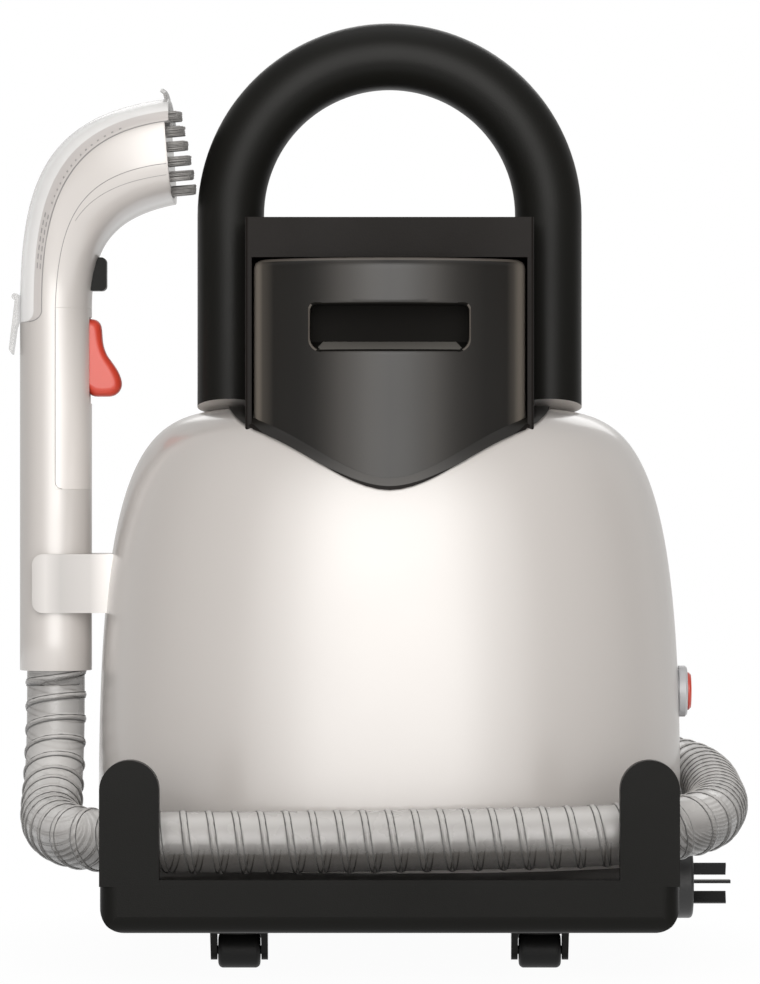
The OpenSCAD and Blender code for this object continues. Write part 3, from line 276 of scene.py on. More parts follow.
# Painted shade across the wand, from its outer side (0) to the body's side (1).
WAND_PAINTED_SHADE = ((0.0, 0.92), (0.33, 1.05), (0.7, 1.12), (1.0, 1.1))
# Painted light on the grip's panel, from its foot (0) to its top (1).
PANEL_PAINTED_LIGHT = ((0.0, 1.38), (0.6, 1.22), (1.0, 1.1))
# Painted light and shade on a clear hose wall, from underneath (0) to the top (1): dark below, light on
# top.
HOSE_PAINTED_SHADE = ((0.0, (0.018, 0.016, 0.014)), (0.3, (0.07, 0.064, 0.058)), (0.5, (0.24, 0.23, 0.22)),
               (0.9, (0.68, 0.66, 0.64)))
SHELL_WHITE = (0.455, 0.428, 0.408)
CLIP_WHITE = (0.52, 0.5, 0.485)
SMOKE = (0.0105, 0.0092, 0.0078)
TANK_HALF = 63.5


def dull(name, color, rough, gloss):
    """A plastic that reflects less than most."""
    return Look(name, color, rough, Specular_IOR_Level=gloss)


def white(name):
    """The glossy white of the body's shells and the wand."""
    return Look(name, SHELL_WHITE, 0.3, Specular_IOR_Level=0.9, Coat_Weight=0.7, Coat_Roughness=0.14) \
        .smudge(14, 0.28, 0.34).grain(45, 0.02, 0.0004)


def smoky(name, shades, **sockets):
    """Smoky clear plastic with dark space behind it, and painted reflections across its width."""
    return Look(name, SMOKE, 0.34, Specular_IOR_Level=0.42, **sockets).smudge(12, 0.33, 0.37) \
        .paint_light_along("X", -TANK_HALF, TANK_HALF, tones(SMOKE, *shades))


LOOKS = [
    dull("black_plastic", (0.0055, 0.0053, 0.0046), 0.38, 0.09).smudge(18, 0.34, 0.46).grain(1500, 0.25),
    dull("crown_black", (0.0088, 0.0072, 0.0063), 0.4, 0.08).smudge(20, 0.36, 0.48).grain(1300, 0.25),
    dull("handle_black", (0.0075, 0.0073, 0.0064), 0.36, 0.12).smudge(16, 0.32, 0.42).grain(1400, 0.22),
    # Painted shade: a dull, dark copy of the smoke for the finger slot's pocket.
    dull("pocket_painted_shade", (0.0085, 0.0079, 0.0071), 0.6, 0.03).smudge(12, 0.55, 0.65),
    dull("blade_dark", (0.008, 0.008, 0.008), 0.3, 0.2).smudge(150, 0.18, 0.3),
    dull("tyre_black", (0.004, 0.004, 0.0038), 0.5, 0.2).mottle(60, 0.1).grain(1100, 0.25),
    white("body_white").mottle(9, 0.008),
    # Painted shade: the wand darker on its outer side, lighter towards the body.
    white("wand_white_painted_shade").paint_light_along("X", -177, -150, tones(SHELL_WHITE, *WAND_PAINTED_SHADE)),
    # Painted light: the grip's panel lighter towards its foot.
    white("panel_white_painted_light").paint_light_along("Z", 262, 309, tones(SHELL_WHITE, *PANEL_PAINTED_LIGHT)),
    # Painted reflections: pale streaks across the tank's wall, and glints at its sides.
    smoky("smoky_clear", TANK_PAINTED_REFLECTIONS, Transmission_Weight=0.06, IOR=1.5),
    # Painted highlight in the middle of the seat under the tank.
    smoky("smoke_painted_highlight", SEAT_PAINTED_HIGHLIGHT),
    # Painted glint on the tank's top edge and the slot's sides.
    dull("smoky_painted_glint", (0.085, 0.074, 0.064), 0.3, 0.3).smudge(12, 0.26, 0.34),
    # Painted light on the pale floor of the finger slot.
    dull("pocket_painted_light", (0.185, 0.175, 0.16), 0.4, 0.2).smudge(12, 0.36, 0.44),
    Look("clear_plastic", (0.88, 0.87, 0.86), 0.1, Alpha=0.6).smudge(30, 0.08, 0.14),
    # Painted shade on the clear cover's side bands.
    Look("cover_shade", (0.5, 0.47, 0.455), 0.14, Alpha=0.85).smudge(30, 0.1, 0.18),
    Look("lever_clear", (0.16, 0.155, 0.15), 0.2, Alpha=0.75).mottle(90, 0.2),
    Look("latch_clear", (0.34, 0.33, 0.32), 0.2, Alpha=0.4).mottle(90, 0.2),
    # Painted light and shade across the clip.
    dull("clip_white_painted_light", CLIP_WHITE, 0.5, 0.25).smudge(14, 0.46, 0.54)
    .paint_light_along("X", -175, -130, tones(CLIP_WHITE, *CLIP_PAINTED_LIGHT)),
    Look("water_tank", (0.8, 0.88, 0.93), 0.1, Transmission_Weight=0.6, IOR=1.46).smudge(25, 0.07, 0.14),
    Look("grey_plastic", (0.42, 0.42, 0.43), 0.3).mottle(60, 0.02).grain(1200, 0.15),
    Look("inner_grey", (0.09, 0.092, 0.1), 0.45).mottle(40, 0.05).grain(900, 0.2),
    Look("cap_blue", (0.03, 0.14, 0.34), 0.35).mottle(50, 0.04).grain(1200, 0.2),
    Look("float_orange", (0.9, 0.32, 0.05), 0.4).mottle(60, 0.03).grain(1100, 0.15),
    Look("signal_red", (0.5, 0.048, 0.026), 0.34, Coat_Weight=0.12, Coat_Roughness=0.15)
    .mottle(70, 0.03).grain(200, 0.03),
    Look("soft_rubber", (0.02, 0.02, 0.02), 0.6).mottle(80, 0.06).grain(1000, 0.3),
    Look("cord_black", (0.014, 0.014, 0.014), 0.42).smudge(60, 0.36, 0.5).grain(1600, 0.2),
    Look("bristle_grey", (0.28, 0.27, 0.26), 0.45).mottle(400, 0.12).grain(900, 0.4, stretch=(0.08, 1, 1)),
    Look("steel", (0.55, 0.55, 0.56), 0.28, Metallic=1.0).smudge(120, 0.22, 0.36),
    Look("motor_metal", (0.5, 0.51, 0.53), 0.38, Metallic=1.0).smudge(60, 0.3, 0.5).grain(700, 0.15),
    Look("board_green", (0.02, 0.1, 0.045), 0.35).mottle(120, 0.1),
    # Painted shade: the hose's wall darker underneath, lighter on top.
    Look("hose_grey", (0.3, 0.29, 0.285), 0.24, Coat_Weight=0.4, Coat_Roughness=0.12, Alpha=0.72)
    .smudge(50, 0.2, 0.32).paint_light_from_above(HOSE_PAINTED_SHADE),
    Look("hose_wire", (0.09, 0.088, 0.085), 0.3).smudge(90, 0.26, 0.4),
    Look("seam_grey", (0.23, 0.225, 0.22), 0.4).mottle(200, 0.08),
    # Painted sheen on the legs' sloped end faces.
    Look("foot_painted_sheen", (0.72, 0.69, 0.66), 0.4).mottle(90, 0.06),
    Look("floor", (0.9, 0.9, 0.9), 0.85).mottle(3, 0.004).fade_to_white(0.14, 0.3, 0.965),
]
MATERIALS = {look.name: look.mat for look in LOOKS}

# ---- mesh helpers ----


def piece(name, points, faces, body, slot, smooth=True, replaces=(), material=None):
    """A mesh piece from points in the drawing's millimetres, riding on a body if one is given."""
    mesh = bpy.data.meshes.new(name)
    mesh.from_pydata([at(*p) for p in points], [], faces)
    mesh.validate()
    mesh.polygons.foreach_set("use_smooth", [smooth] * len(mesh.polygons))
    mesh.materials.append(MATERIALS[material or slot])
    obj = added(name, mesh)
    if body:
        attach(obj, body)
    if replaces:
        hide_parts(*replaces)
    return obj


@contextlib.contextmanager
def edited(obj):
    """The piece's mesh, open for edits until the block ends."""
    work = bmesh.new()
    work.from_mesh(obj.data)
    yield work
    work.to_mesh(obj.data)
    work.free()


def shade_smooth(obj, angle):
    """Smooth shading, but for the edges that turn by more than the angle."""
    obj.data.polygons.foreach_set("use_smooth", [True] * len(obj.data.polygons))
    obj.data.set_sharp_from_angle(angle=radians(angle))


def grid_faces(rows, columns, closed=True):
    """Faces of a grid of points, row after row; a closed one joins each row's last point to its first."""
    faces = []
    for a in range(0, (rows - 1) * columns, columns):
        for i in range(columns if closed else columns - 1):
            k = (i + 1) % columns
            faces.append((a + i, a + k, a + columns + k, a + columns + i))
    return faces


def steps(low, high, count):
    return [low + (high - low) * k / count for k in range(count + 1)]


def ease(t):
    return t * t * (3 - 2 * t)


def power(base, exponent):
    """The power of the size of the base, with the base's sign."""
    return copysign(abs(base) ** exponent, base)


def evenly(a, b, step):
    """Points from a to b, about step apart."""
    return [a.lerp(b, t) for t in steps(0, 1, max(1, round((b - a).length / step)))]


def route_length(route):
    return sum((b - a).length for a, b in zip(route, route[1:]))


def smooth_route(points, count):
    """Catmull-Rom curve through the points, with count steps from each to the next."""
    points = [Vector(p) for p in points]
    route = []
    last = len(points) - 1
    for i in range(last):
        a, b = points[max(i - 1, 0)], points[i]
        c, d = points[i + 1], points[min(i + 2, last)]
        for k in range(count):
            t = k / count
            route.append(0.5 * (2 * b + (c - a) * t + (2 * a - 5 * b + 4 * c - d) * t * t
                                + (3 * b - a - 3 * c + d) * t ** 3))
    return route + [points[last]]


def spaced(route, step):
    """The route again, with points at an even distance of about step."""
    lengths = [0.0]
    for a, b in zip(route, route[1:]):
        lengths.append(lengths[-1] + (b - a).length)
    result = []
    i = 0
    for want in steps(0, lengths[-1], max(2, round(lengths[-1] / step))):
        while i < len(route) - 2 and lengths[i + 1] < want:
            i += 1
        t = (want - lengths[i]) / max(1e-9, lengths[i + 1] - lengths[i])
        result.append(route[i].lerp(route[i + 1], min(1.0, t)))
    return result


def carried_frames(route):
    """Two side vectors at each point of the route, carried along it without twist."""
    result = []
    side = None
    for i in range(len(route)):
        heading = (route[min(i + 1, len(route) - 1)] - route[max(i - 1, 0)]).normalized()
        if side is None:
            side = Vector((1, 0, 0)) if abs(heading.z) > 0.9 else Vector((0, 0, 1))
        side = (side - side.dot(heading) * heading).normalized()
        result.append((side, heading.cross(side)))
    return result


def capped_faces(rows, columns):
    """Faces of a tube of closed rings, with a cap at each end."""
    last = (rows - 1) * columns
    return grid_faces(rows, columns) + [tuple(range(columns))[::-1], tuple(range(last, last + columns))]


def lofted(name, solids, body, slot, **options):
    """Piece of closed solids; each is a list of rings of points."""
    points, faces = [], []
    for rings in solids:
        start = len(points)
        points += [p for ring in rings for p in ring]
        faces += [tuple(start + k for k in face) for face in capped_faces(len(rings), len(rings[0]))]
    obj = piece(name, points, faces, body, slot, **options)
    with edited(obj) as work:
        bmesh.ops.recalc_face_normals(work, faces=work.faces)
    return obj


def swept(name, route, radius, sides, body, slot, **options):
    """Round tube along the route; radius is a function of the ring's number and the angle's turn."""
    turns = steps(0, 1, sides)[:-1]
    rings = [[p + radius(i, t) * (cos(tau * t) * u + sin(tau * t) * w) for t in turns]
             for i, (p, (u, w)) in enumerate(zip(route, carried_frames(route)))]
    return lofted(name, [rings], body, slot, **options)


# ---- suction hose and mains cord ----

HOSE_D = 29.5
HOSE_PITCH = 11.7
RIB_HALF = 0.115
RIB_HEIGHT, WALL_SINK, WIRE_SINK, WIRE_R = 0.85, 0.9, 0.72, 0.36
RINGS_PER_TURN, WIRE_PER_TURN = 12, 24
HOSE_ROUTE = [(-160.1, 0, 135.9), (-160.1, 0, 131.5), (-160.1, 0, 127), (-160, -3.5, 110),
              (-160, -10.5, 94), (-160, -24, 79), (-159, -48, 69), (-154, -76, 65), (-143, -101, 63),
              (-124, -116, 62.5), (-98, -121.55, 62.5), (-50, -121.55, 62.5), (0, -121.55, 63),
              (50, -121.55, 64), (88, -121.55, 65), (114, -119, 66.5), (134, -109, 68.5),
              (146, -90, 70.5), (151.5, -62, 72), (155.2, -30, 74), (155.8, 10, 77), (155.2, 46, 80),
              (150, 76, 83), (138, 101, 85.5), (124, 115.5, 87.5), (108, 121.5, 88),
              (104, 121.5, 88), (100.3, 121.5, 88)]


def build_hose():
    """Clear hose with a spiral rib, and two fine wires along the rib's edges."""
    step = HOSE_PITCH / RINGS_PER_TURN
    route = spaced(smooth_route(HOSE_ROUTE, 12), step)
    frames = carried_frames(route)
    length = route_length(route)

    def rib(i, turn):
        phase = (i / RINGS_PER_TURN - turn) % 1.0
        away = min(phase, 1 - phase)
        return HOSE_D / 2 - WALL_SINK + RIB_HEIGHT * max(0.0, 1 - (away / RIB_HALF) ** 4)

    hose = swept("hose_wall", route, rib, 48, None, "hose_grey", replaces=["suction_hose"])
    wires = []
    for side, edge in (("a", -RIB_HALF), ("b", RIB_HALF)):
        centre = []
        for n in range(int(length / HOSE_PITCH * WIRE_PER_TURN)):
            turn = n / WIRE_PER_TURN
            place = (turn + edge) * RINGS_PER_TURN
            i = min(max(int(place), 0), len(route) - 2)
            t = min(max(place - i, 0.0), 1.0)
            p = route[i].lerp(route[i + 1], t)
            u, w = frames[i]
            a = tau * turn
            centre.append(p + (HOSE_D / 2 - WIRE_SINK) * (cos(a) * u + sin(a) * w))
        wires.append(swept("hose_wire_" + side, centre, lambda i, turn: WIRE_R, 6, None, "hose_grey",
                           material="hose_wire"))
    for bent in [hose] + wires:
        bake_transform(bent)


CORD_R = 3.5
HANK = Vector((-45, 134, 52))
HANK_STRAIGHT = 44
HANK_RADII = (21, 28, 35)
HANK_ROWS = (-10, -3.33, 3.33, 10)
STEPS_PER_TURN = 36
# The last turn ends at this share of its way round, and the cord's end goes on from there.
LAST_TURN = 0.64
LEAD_IN = [(88.7, 130.7, 37), (84.2, 133.7, 36.7), (74, 135, 34.6), (60, 132.5, 29), (44, 127, 21.5),
           (18, 124, 17.2)]
TAIL_OUT = [(35.8, 143.5, 73.3), (52, 143, 49.5), (72, 142, 35), (92, 139, 25.5), (108, 137, 23),
            (117.7, 137, 23)]


def hank_turns():
    """Route of the wound cord: rows side by side, each row's layers from the outside in and out."""
    order = []
    for r, row in enumerate(HANK_ROWS):
        order += [(layer, row) for layer in HANK_RADII[::1 if r % 2 else -1]]
    route = []
    for (radius, row), (next_radius, next_row) in zip(order, order[1:] + order[-1:]):
        for f in steps(0, 1, STEPS_PER_TURN)[:-1]:
            mix = ease(max(0.0, f * 4 - 3))
            r = radius + (next_radius - radius) * mix
            side = 1 if f < 0.5 else -1
            q = f * 4 % 2
            a = pi * max(0.0, q - 1)
            x = HANK_STRAIGHT * (1 - 2 * min(q, 1)) - r * sin(a)
            route.append(HANK + Vector((side * x, row + (next_row - row) * mix, -side * r * cos(a))))
    return route[:int(LAST_TURN * STEPS_PER_TURN) + 1 - STEPS_PER_TURN]


def build_mains_cord():
    last_row, last_r = HANK_ROWS[-1], HANK_RADII[-1]
    end_turn = [HANK + Vector((HANK_STRAIGHT * share, last_row, last_r)) for share in (0.55, 0.9)]
    end_turn.append(HANK + Vector((HANK_STRAIGHT + 13.4, last_row, last_r - 2.7)))
    route = spaced(smooth_route(LEAD_IN + hank_turns() + end_turn + TAIL_OUT, 6), 2.5)
    curve = bpy.data.curves.new("mains_cord", "CURVE")
    curve.dimensions = "3D"
    curve.bevel_depth = CORD_R * MM
    curve.bevel_resolution = 4
    curve.use_fill_caps = True
    spline = curve.splines.new("POLY")
    spline.points.add(len(route) - 1)
    for point, p in zip(spline.points, route):
        point.co = (*at(*p), 1)
    spline.use_smooth = True
    curve.materials.append(MATERIALS["cord_black"])
    cord = added("mains_cord", curve)
    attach(cord, "chassis")
    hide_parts("mains_cord_lead", "mains_cord_hank", "mains_cord_tail")


build_hose()
build_mains_cord()

# ---- white body ----

BODY_W, BODY_D, BODY_H = 278.6, 212.0, 215.0
LEDGE_Z = 47.0
PLAN_POWER, SIDE_POWER, RISE_POWER = 2.3, 7.75, 3.0
SPLIT_Y = 23.5
SHELL_WALL, SHELL_EDGE = 3.0, 0.4
# The bay at the back that the clean tank slides into: half its width, its front wall and its height.
CLEAN_X, CLEAN_Y, CLEAN_Z = 75.8, 51.2, (112.2, 246.8)


def body_point(turn, rise):
    """Point of the body's skin: turn goes round, and rise from the foot (0) to the top (1)."""
    a = rise * pi / 2
    s = max(0.0, cos(a)) ** (2 / SIDE_POWER)
    t = tau * turn
    x = s * BODY_W / 2 * power(cos(t), 2 / PLAN_POWER)
    y = s * BODY_D / 2 * power(sin(t), 2 / PLAN_POWER)
    return x, y, LEDGE_Z + BODY_H * sin(a) ** (2 / RISE_POWER)


def body_rises():
    """Levels of the skin, close together where it turns over at the top."""
    return [0, 0.004, 0.012] + steps(0.03, 0.97, 56) + [0.982, 0.9901, 0.9952, 0.998, 0.9992]


def cut_planes(obj, planes, drop):
    """Cuts the mesh along planes (point, normal) and deletes the faces whose middle drop() takes."""
    with edited(obj) as work:
        for point, normal in planes:
            geometry = [*work.verts, *work.edges, *work.faces]
            bmesh.ops.bisect_plane(work, geom=geometry, dist=1e-6, plane_co=at(*point), plane_no=normal)
        gone = [f for f in work.faces if drop(drawn(f.calc_center_median()))]
        bmesh.ops.delete(work, geom=gone, context="FACES")


def thicken(obj, wall, edge):
    """Gives an open skin its wall, inwards, with slightly rounded edges."""
    solid = obj.modifiers.new("wall", "SOLIDIFY")
    solid.thickness = wall * MM
    solid.offset = -1
    solid.use_even_offset = True
    soften(obj, edge)


def soften(obj, width, segments=2, angle=35):
    bevel = obj.modifiers.new("edges", "BEVEL")
    bevel.width = width * MM
    bevel.segments = segments
    bevel.limit_method = "ANGLE"
    bevel.angle_limit = radians(angle)


def body_skin(name, node, planes, drop):
    """The body's skin with a wall's thickness, cut along the planes; drop() takes what isn't its part."""
    columns = 240
    rises = body_rises()
    points = [body_point(i / columns, rise) for rise in rises for i in range(columns)]
    top = len(points)
    points.append((0, 0, LEDGE_Z + BODY_H))
    faces = grid_faces(len(rises), columns)
    faces += [(top - columns + i, top - columns + (i + 1) % columns, top) for i in range(columns)]
    obj = piece(name, points, faces, "chassis", "body_white", replaces=[node])
    cut_planes(obj, planes, drop)
    thicken(obj, SHELL_WALL, SHELL_EDGE)


def build_body():
    seam = [((0, SPLIT_Y, 0), (0, 1, 0))]
    body_skin("body_front", "front_shell", seam, lambda p: p.y > SPLIT_Y - 0.01)
    box = [((x, 0, 0), (1, 0, 0)) for x in (-CLEAN_X, CLEAN_X)]
    box += [((0, 0, z), (0, 0, 1)) for z in CLEAN_Z]
    box += [((0, CLEAN_Y, 0), (0, 1, 0))]

    def outside(p):
        in_bay = abs(p.x) < CLEAN_X and CLEAN_Z[0] < p.z < CLEAN_Z[1] and p.y > CLEAN_Y
        return p.y < SPLIT_Y + 0.01 or in_bay

    body_skin("body_rear", "rear_shell", seam + box, outside)


def body_depth(x, z, grow):
    """How far the body's skin, grown by grow, lies before its middle plane at x and z."""
    s = max(0.0, 1 - ((z - LEDGE_Z) / (BODY_H + grow)) ** RISE_POWER) ** (1 / SIDE_POWER)
    f = max(0.0, 1 - (abs(x) / max(1e-6, s * (BODY_W / 2 + grow))) ** PLAN_POWER) ** (1 / PLAN_POWER)
    return s * (BODY_D / 2 + grow) * f


def body_height(x, y, grow):
    """Height of the body's skin, grown by grow, at x and y."""
    s = ((abs(x) / (BODY_W / 2 + grow)) ** PLAN_POWER
         + (abs(y) / (BODY_D / 2 + grow)) ** PLAN_POWER) ** (1 / PLAN_POWER)
    return LEDGE_Z + (BODY_H + grow) * max(0.0, 1 - s ** SIDE_POWER) ** (1 / RISE_POWER)


build_body()

# ---- dirty tank ----

TANK_FRONT, TANK_R, TANK_TOP = 95.4, 85.0, 330.3
NECK_HALF, NECK_Y, TANK_BACK = 56.4, -19.8, 20.0
TANK_EDGE_R, TANK_TOP_R = 4.5, 4.5
# The tank's floor follows the body's skin at this gap, and its lower edge is rounded by TANK_FOOT_R.
TANK_GAP, TANK_FOOT_R = 0.8, 0.7
TANK_MIDDLE = Vector((0, -32))
LID_INSET, LID_LIP, LID_STEP, LID_DEEP = 6.5, 2.5, 327.3, 4.0
SLOT_HALF, SLOT_LOW, SLOT_HIGH = 37.6, 286.6, 309.6
SLOT_MIDDLE = (SLOT_LOW + SLOT_HIGH) / 2
SLOT_LOW_R, SLOT_HIGH_R = 6.0, 3.0
# The slot's rolled rim: how far it has closed in, at each depth.
SLOT_ROLL = ((0.25, 0.15), (0.7, 0.6), (0.95, 1.4))
POCKET_BACK, POCKET_RISE = -71.4, 4.0
# The pocket's floor, painted pale as a painted pool of light: half its width, its place behind the tank's
# front, and how far it has risen.
SILL_UP = 1.15
SILL = ((33.0, 0.9, 0.0), (34.0, 1.8, 0.1), (31.0, None, POCKET_RISE))
PORTS = (-25.0, 25.0)
PORT_Z, PORT_R, PORT_DEEP = 300.0, 10.0, 2.6


def tank_face(x):
    """Where the tank's round front lies at x."""
    return -TANK_FRONT + TANK_R - sqrt(TANK_R ** 2 - x * x)


def tank_plan():
    """Outline of the tank from above, counter-clockwise from the front's left end."""
    reach = TANK_HALF - TANK_EDGE_R * 0.72
    side = tank_face(TANK_HALF) + TANK_EDGE_R

    def corner(sign):
        start, end = Vector((sign * reach, tank_face(reach))), Vector((sign * TANK_HALF, side))
        middle = Vector((sign * TANK_HALF, tank_face(TANK_HALF)))
        return [(1 - t) ** 2 * start + 2 * t * (1 - t) * middle + t * t * end
                for t in steps(0, 1, 8)[1:]]

    outline = [Vector((x, tank_face(x))) for x in steps(-reach, reach, 130)] + corner(1)
    for x, y in ((TANK_HALF, NECK_Y), (NECK_HALF, NECK_Y), (NECK_HALF, TANK_BACK),
                 (-NECK_HALF, TANK_BACK), (-NECK_HALF, NECK_Y), (-TANK_HALF, NECK_Y), (-TANK_HALF, side)):
        outline += evenly(outline[-1], Vector((x, y)), 2.0)[1:]
    return outline + corner(-1)[::-1][1:]


def inset(outline, amount):
    """The closed outline moved inwards."""
    n = len(outline)
    moved = []
    for i in range(n):
        along = (outline[(i + 1) % n] - outline[i - 1]).normalized()
        moved.append(outline[i] + amount * Vector((-along.y, along.x)))
    return moved


def drop_loose(work):
    bmesh.ops.delete(work, geom=[v for v in work.verts if not v.link_faces], context="VERTS")


def snap_hole(work, inside, outline_point):
    """Opens a hole where inside() says so, moves its rim onto the outline, and returns the rim."""
    gone = [f for f in work.faces if inside(drawn(f.calc_center_median()))]
    bmesh.ops.delete(work, geom=gone, context="FACES")
    drop_loose(work)
    rim = [e for e in work.edges if e.is_boundary
           and inside(drawn((e.verts[0].co + e.verts[1].co) / 2), 1.6)]
    for v in {v for e in rim for v in e.verts}:
        v.co = at(*outline_point(drawn(v.co)))
    return rim


def grow_in(work, rim, move):
    """Extrudes the rim, and moves the new rim with move()."""
    made = bmesh.ops.extrude_edge_only(work, edges=rim)["geom"]
    for v in (g for g in made if isinstance(g, bmesh.types.BMVert)):
        v.co = at(*move(drawn(v.co)))
    return [g for g in made if isinstance(g, bmesh.types.BMEdge)]


def slot_distance(x, z):
    """Signed distance to the finger slot's outline, and the outline's nearest point."""
    r = SLOT_LOW_R if z < SLOT_MIDDLE else SLOT_HIGH_R
    cx = min(max(x, -SLOT_HALF + r), SLOT_HALF - r)
    cz = min(max(z, SLOT_LOW + r), SLOT_HIGH - r)
    away = Vector((x - cx, z - cz))
    if away.length < 1e-6:
        return -r, (x, z)
    near = Vector((cx, cz)) + away.normalized() * r
    return away.length - r, (near.x, near.y)


TANK_LOOKS = ("smoky_clear", "pocket_painted_shade", "smoky_painted_glint", "smoke_painted_highlight")
# The tank's front ends at FRONT_Y; a painted glint lies in a band along its upper round, and on the slot's
# sides.
FRONT_Y = -61
PAINTED_GLINT_BAND = (TANK_TOP - 1.3, TANK_TOP - 0.1)
# The slot's sides carry the painted glint to this depth behind the front, and this width in from their
# edge.
RIM_DEEP, RIM_WIDE = 0.7, 3.7


def tank_look(p):
    """Which of TANK_LOOKS a face has: painted shade in the slot's pocket, a painted glint on the slot's
    sides and along the upper round, and plain smoke on the tank's sides, away from the front's painted
    streaks.
    """
    face = tank_face(p.x)
    if face + 0.1 < p.y < POCKET_BACK + 1 and slot_distance(p.x, p.z)[0] < 0:
        rim = p.y < face + RIM_DEEP and abs(p.x) > SLOT_HALF - RIM_WIDE and p.z < SLOT_HIGH - 1
        return 2 if rim else 1
    if p.y > FRONT_Y and abs(p.x) > TANK_HALF - 0.3:
        return 3
    if p.y < FRONT_Y + 1 and PAINTED_GLINT_BAND[0] < p.z < PAINTED_GLINT_BAND[1]:
        return 2
    return 0


def tank_rows():
    """The tank's outline at each level: its floor from inside, the wall, the round and the lid's step."""
    outline = tank_plan()
    wall_top = TANK_TOP - TANK_TOP_R
    inner, deepest = LID_INSET + LID_LIP, LID_STEP - LID_DEEP

    def row(ring, height):
        return [(p.x, p.y, height(p)) for p in ring]

    def seat(p):
        return body_height(p.x, p.y, TANK_GAP)

    rows = [row([TANK_MIDDLE.lerp(p, share) for p in outline], seat) for share in steps(0.1, 0.82, 4)]
    rows.append(row(inset(outline, TANK_FOOT_R), seat))
    for f in steps(0, 1, 72):
        rows.append(row(outline, lambda p: (seat(p) + TANK_FOOT_R) * (1 - f) + wall_top * f))
    for a in steps(0, pi / 2, 8)[1:]:
        ring = inset(outline, TANK_TOP_R * (1 - cos(a)))
        rows.append(row(ring, lambda p: wall_top + TANK_TOP_R * sin(a)))
    for amount, z in ((LID_INSET, TANK_TOP), (LID_INSET, LID_STEP), (inner, LID_STEP), (inner, deepest)):
        rows.append(row(inset(outline, amount), lambda p: z))
    return rows


def open_slot(work):
    """Opens the finger slot in the tank's front: a rolled rim, and a pocket whose floor slopes up."""
    def in_slot(p, margin=0.0):
        return p.y < POCKET_BACK and slot_distance(p.x, p.z)[0] < margin

    def on_slot(p):
        x, z = slot_distance(p.x, p.z)[1]
        return x, tank_face(x), z

    rim = snap_hole(work, in_slot, on_slot)
    for close, back in SLOT_ROLL:
        def roll(p):
            x, _, z = on_slot(p)
            x_in = copysign(close, x) if abs(abs(x) - SLOT_HALF) < SLOT_LOW_R else 0
            return x - x_in, tank_face(x) + back, z - copysign(close, z - SLOT_MIDDLE)
        rim = grow_in(work, rim, roll)
    close, back = SLOT_ROLL[-1]
    for share in (0.35, 0.7, 1.0):
        def deeper(p):
            floor = SLOT_LOW + close + POCKET_RISE * share
            start = tank_face(p.x) + back
            return p.x, start + (POCKET_BACK - start) * share, max(p.z, floor) if p.z < SLOT_MIDDLE else p.z
        rim = grow_in(work, rim, deeper)

    def turn(vert):
        p = drawn(vert.co)
        return atan2(p.z - SLOT_MIDDLE, p.x)

    work.faces.new(sorted({v for e in rim for v in e.verts}, key=turn))


def open_port(work, middle):
    """Opens a round port in the tank's back."""
    def in_port(p, margin=0.0):
        return p.y > TANK_BACK - 1 and hypot(p.x - middle, p.z - PORT_Z) < PORT_R + margin

    def on_port(p):
        away = Vector((p.x - middle, p.z - PORT_Z)).normalized() * PORT_R
        return middle + away.x, TANK_BACK, PORT_Z + away.y

    grow_in(work, snap_hole(work, in_port, on_port), lambda p: (p.x, p.y - PORT_DEEP, p.z))


def build_dirty_tank():
    rows = tank_rows()
    columns = len(rows[0])
    faces = grid_faces(len(rows), columns) + [tuple(range(columns))[::-1]]
    tank = piece("dirty_tank_skin", sum(rows, []), faces, "dirty_tank_unit", "smoky_clear",
                 replaces=["dirty_tank"])
    for look in TANK_LOOKS[1:]:
        tank.data.materials.append(MATERIALS[look])
    with edited(tank) as work:
        open_slot(work)
        for face in work.faces:
            face.material_index = tank_look(drawn(face.calc_center_median()))
        for port in PORTS:
            open_port(work, port)
        bmesh.ops.recalc_face_normals(work, faces=work.faces)
    shade_smooth(tank, 38)


def build_pocket_floor():
    """A pale sheet over the slot's floor, a painted pool of light; it slopes up to the back, and is
    narrower there.
    """
    columns = 40
    points = []
    for half, deep, rise in SILL:
        for x in steps(-half, half, columns):
            y = POCKET_BACK - 0.15 if deep is None else tank_face(x) + deep
            points.append((x, y, SLOT_LOW + SILL_UP + rise))
    piece("pocket_floor", points, grid_faces(len(SILL), columns + 1, closed=False), "dirty_tank_unit",
          "smoky_clear", material="pocket_painted_light")


CROWN_HALF = 67.3
SEAT_REACH, SEAT_TOP, SEAT_PROUD = 76.0, 262.0, 1.3
# The seat's lower edge lies SEAT_DROP below the tank's, less at its middle and towards its sides.
SEAT_DROP = 4.6
SEAT_SIDE_FROM, SEAT_SIDE_LIFT = 57.0, 3.7
SEAT_MIDDLE_HALF, SEAT_MIDDLE_LIFT = 32.0, 1.9


def seat_span(x):
    """Lower and upper edge of the crown's seat at x."""
    edge = body_height(x, tank_face(min(max(x, -TANK_HALF), TANK_HALF)), TANK_GAP)
    side = min(1.0, max(0.0, (abs(x) - SEAT_SIDE_FROM) / (CROWN_HALF - SEAT_SIDE_FROM)))
    lift = SEAT_SIDE_LIFT * ease(side) + SEAT_MIDDLE_LIFT * max(0.0, 1 - (x / SEAT_MIDDLE_HALF) ** 2)
    low = edge - SEAT_DROP + lift
    past = max(0.0, (abs(x) - CROWN_HALF) / (SEAT_REACH - CROWN_HALF))
    high = SEAT_TOP + 0.4 if past > 0 else min(edge + 1.0, SEAT_TOP)
    return low + (SEAT_TOP - low) * past, high


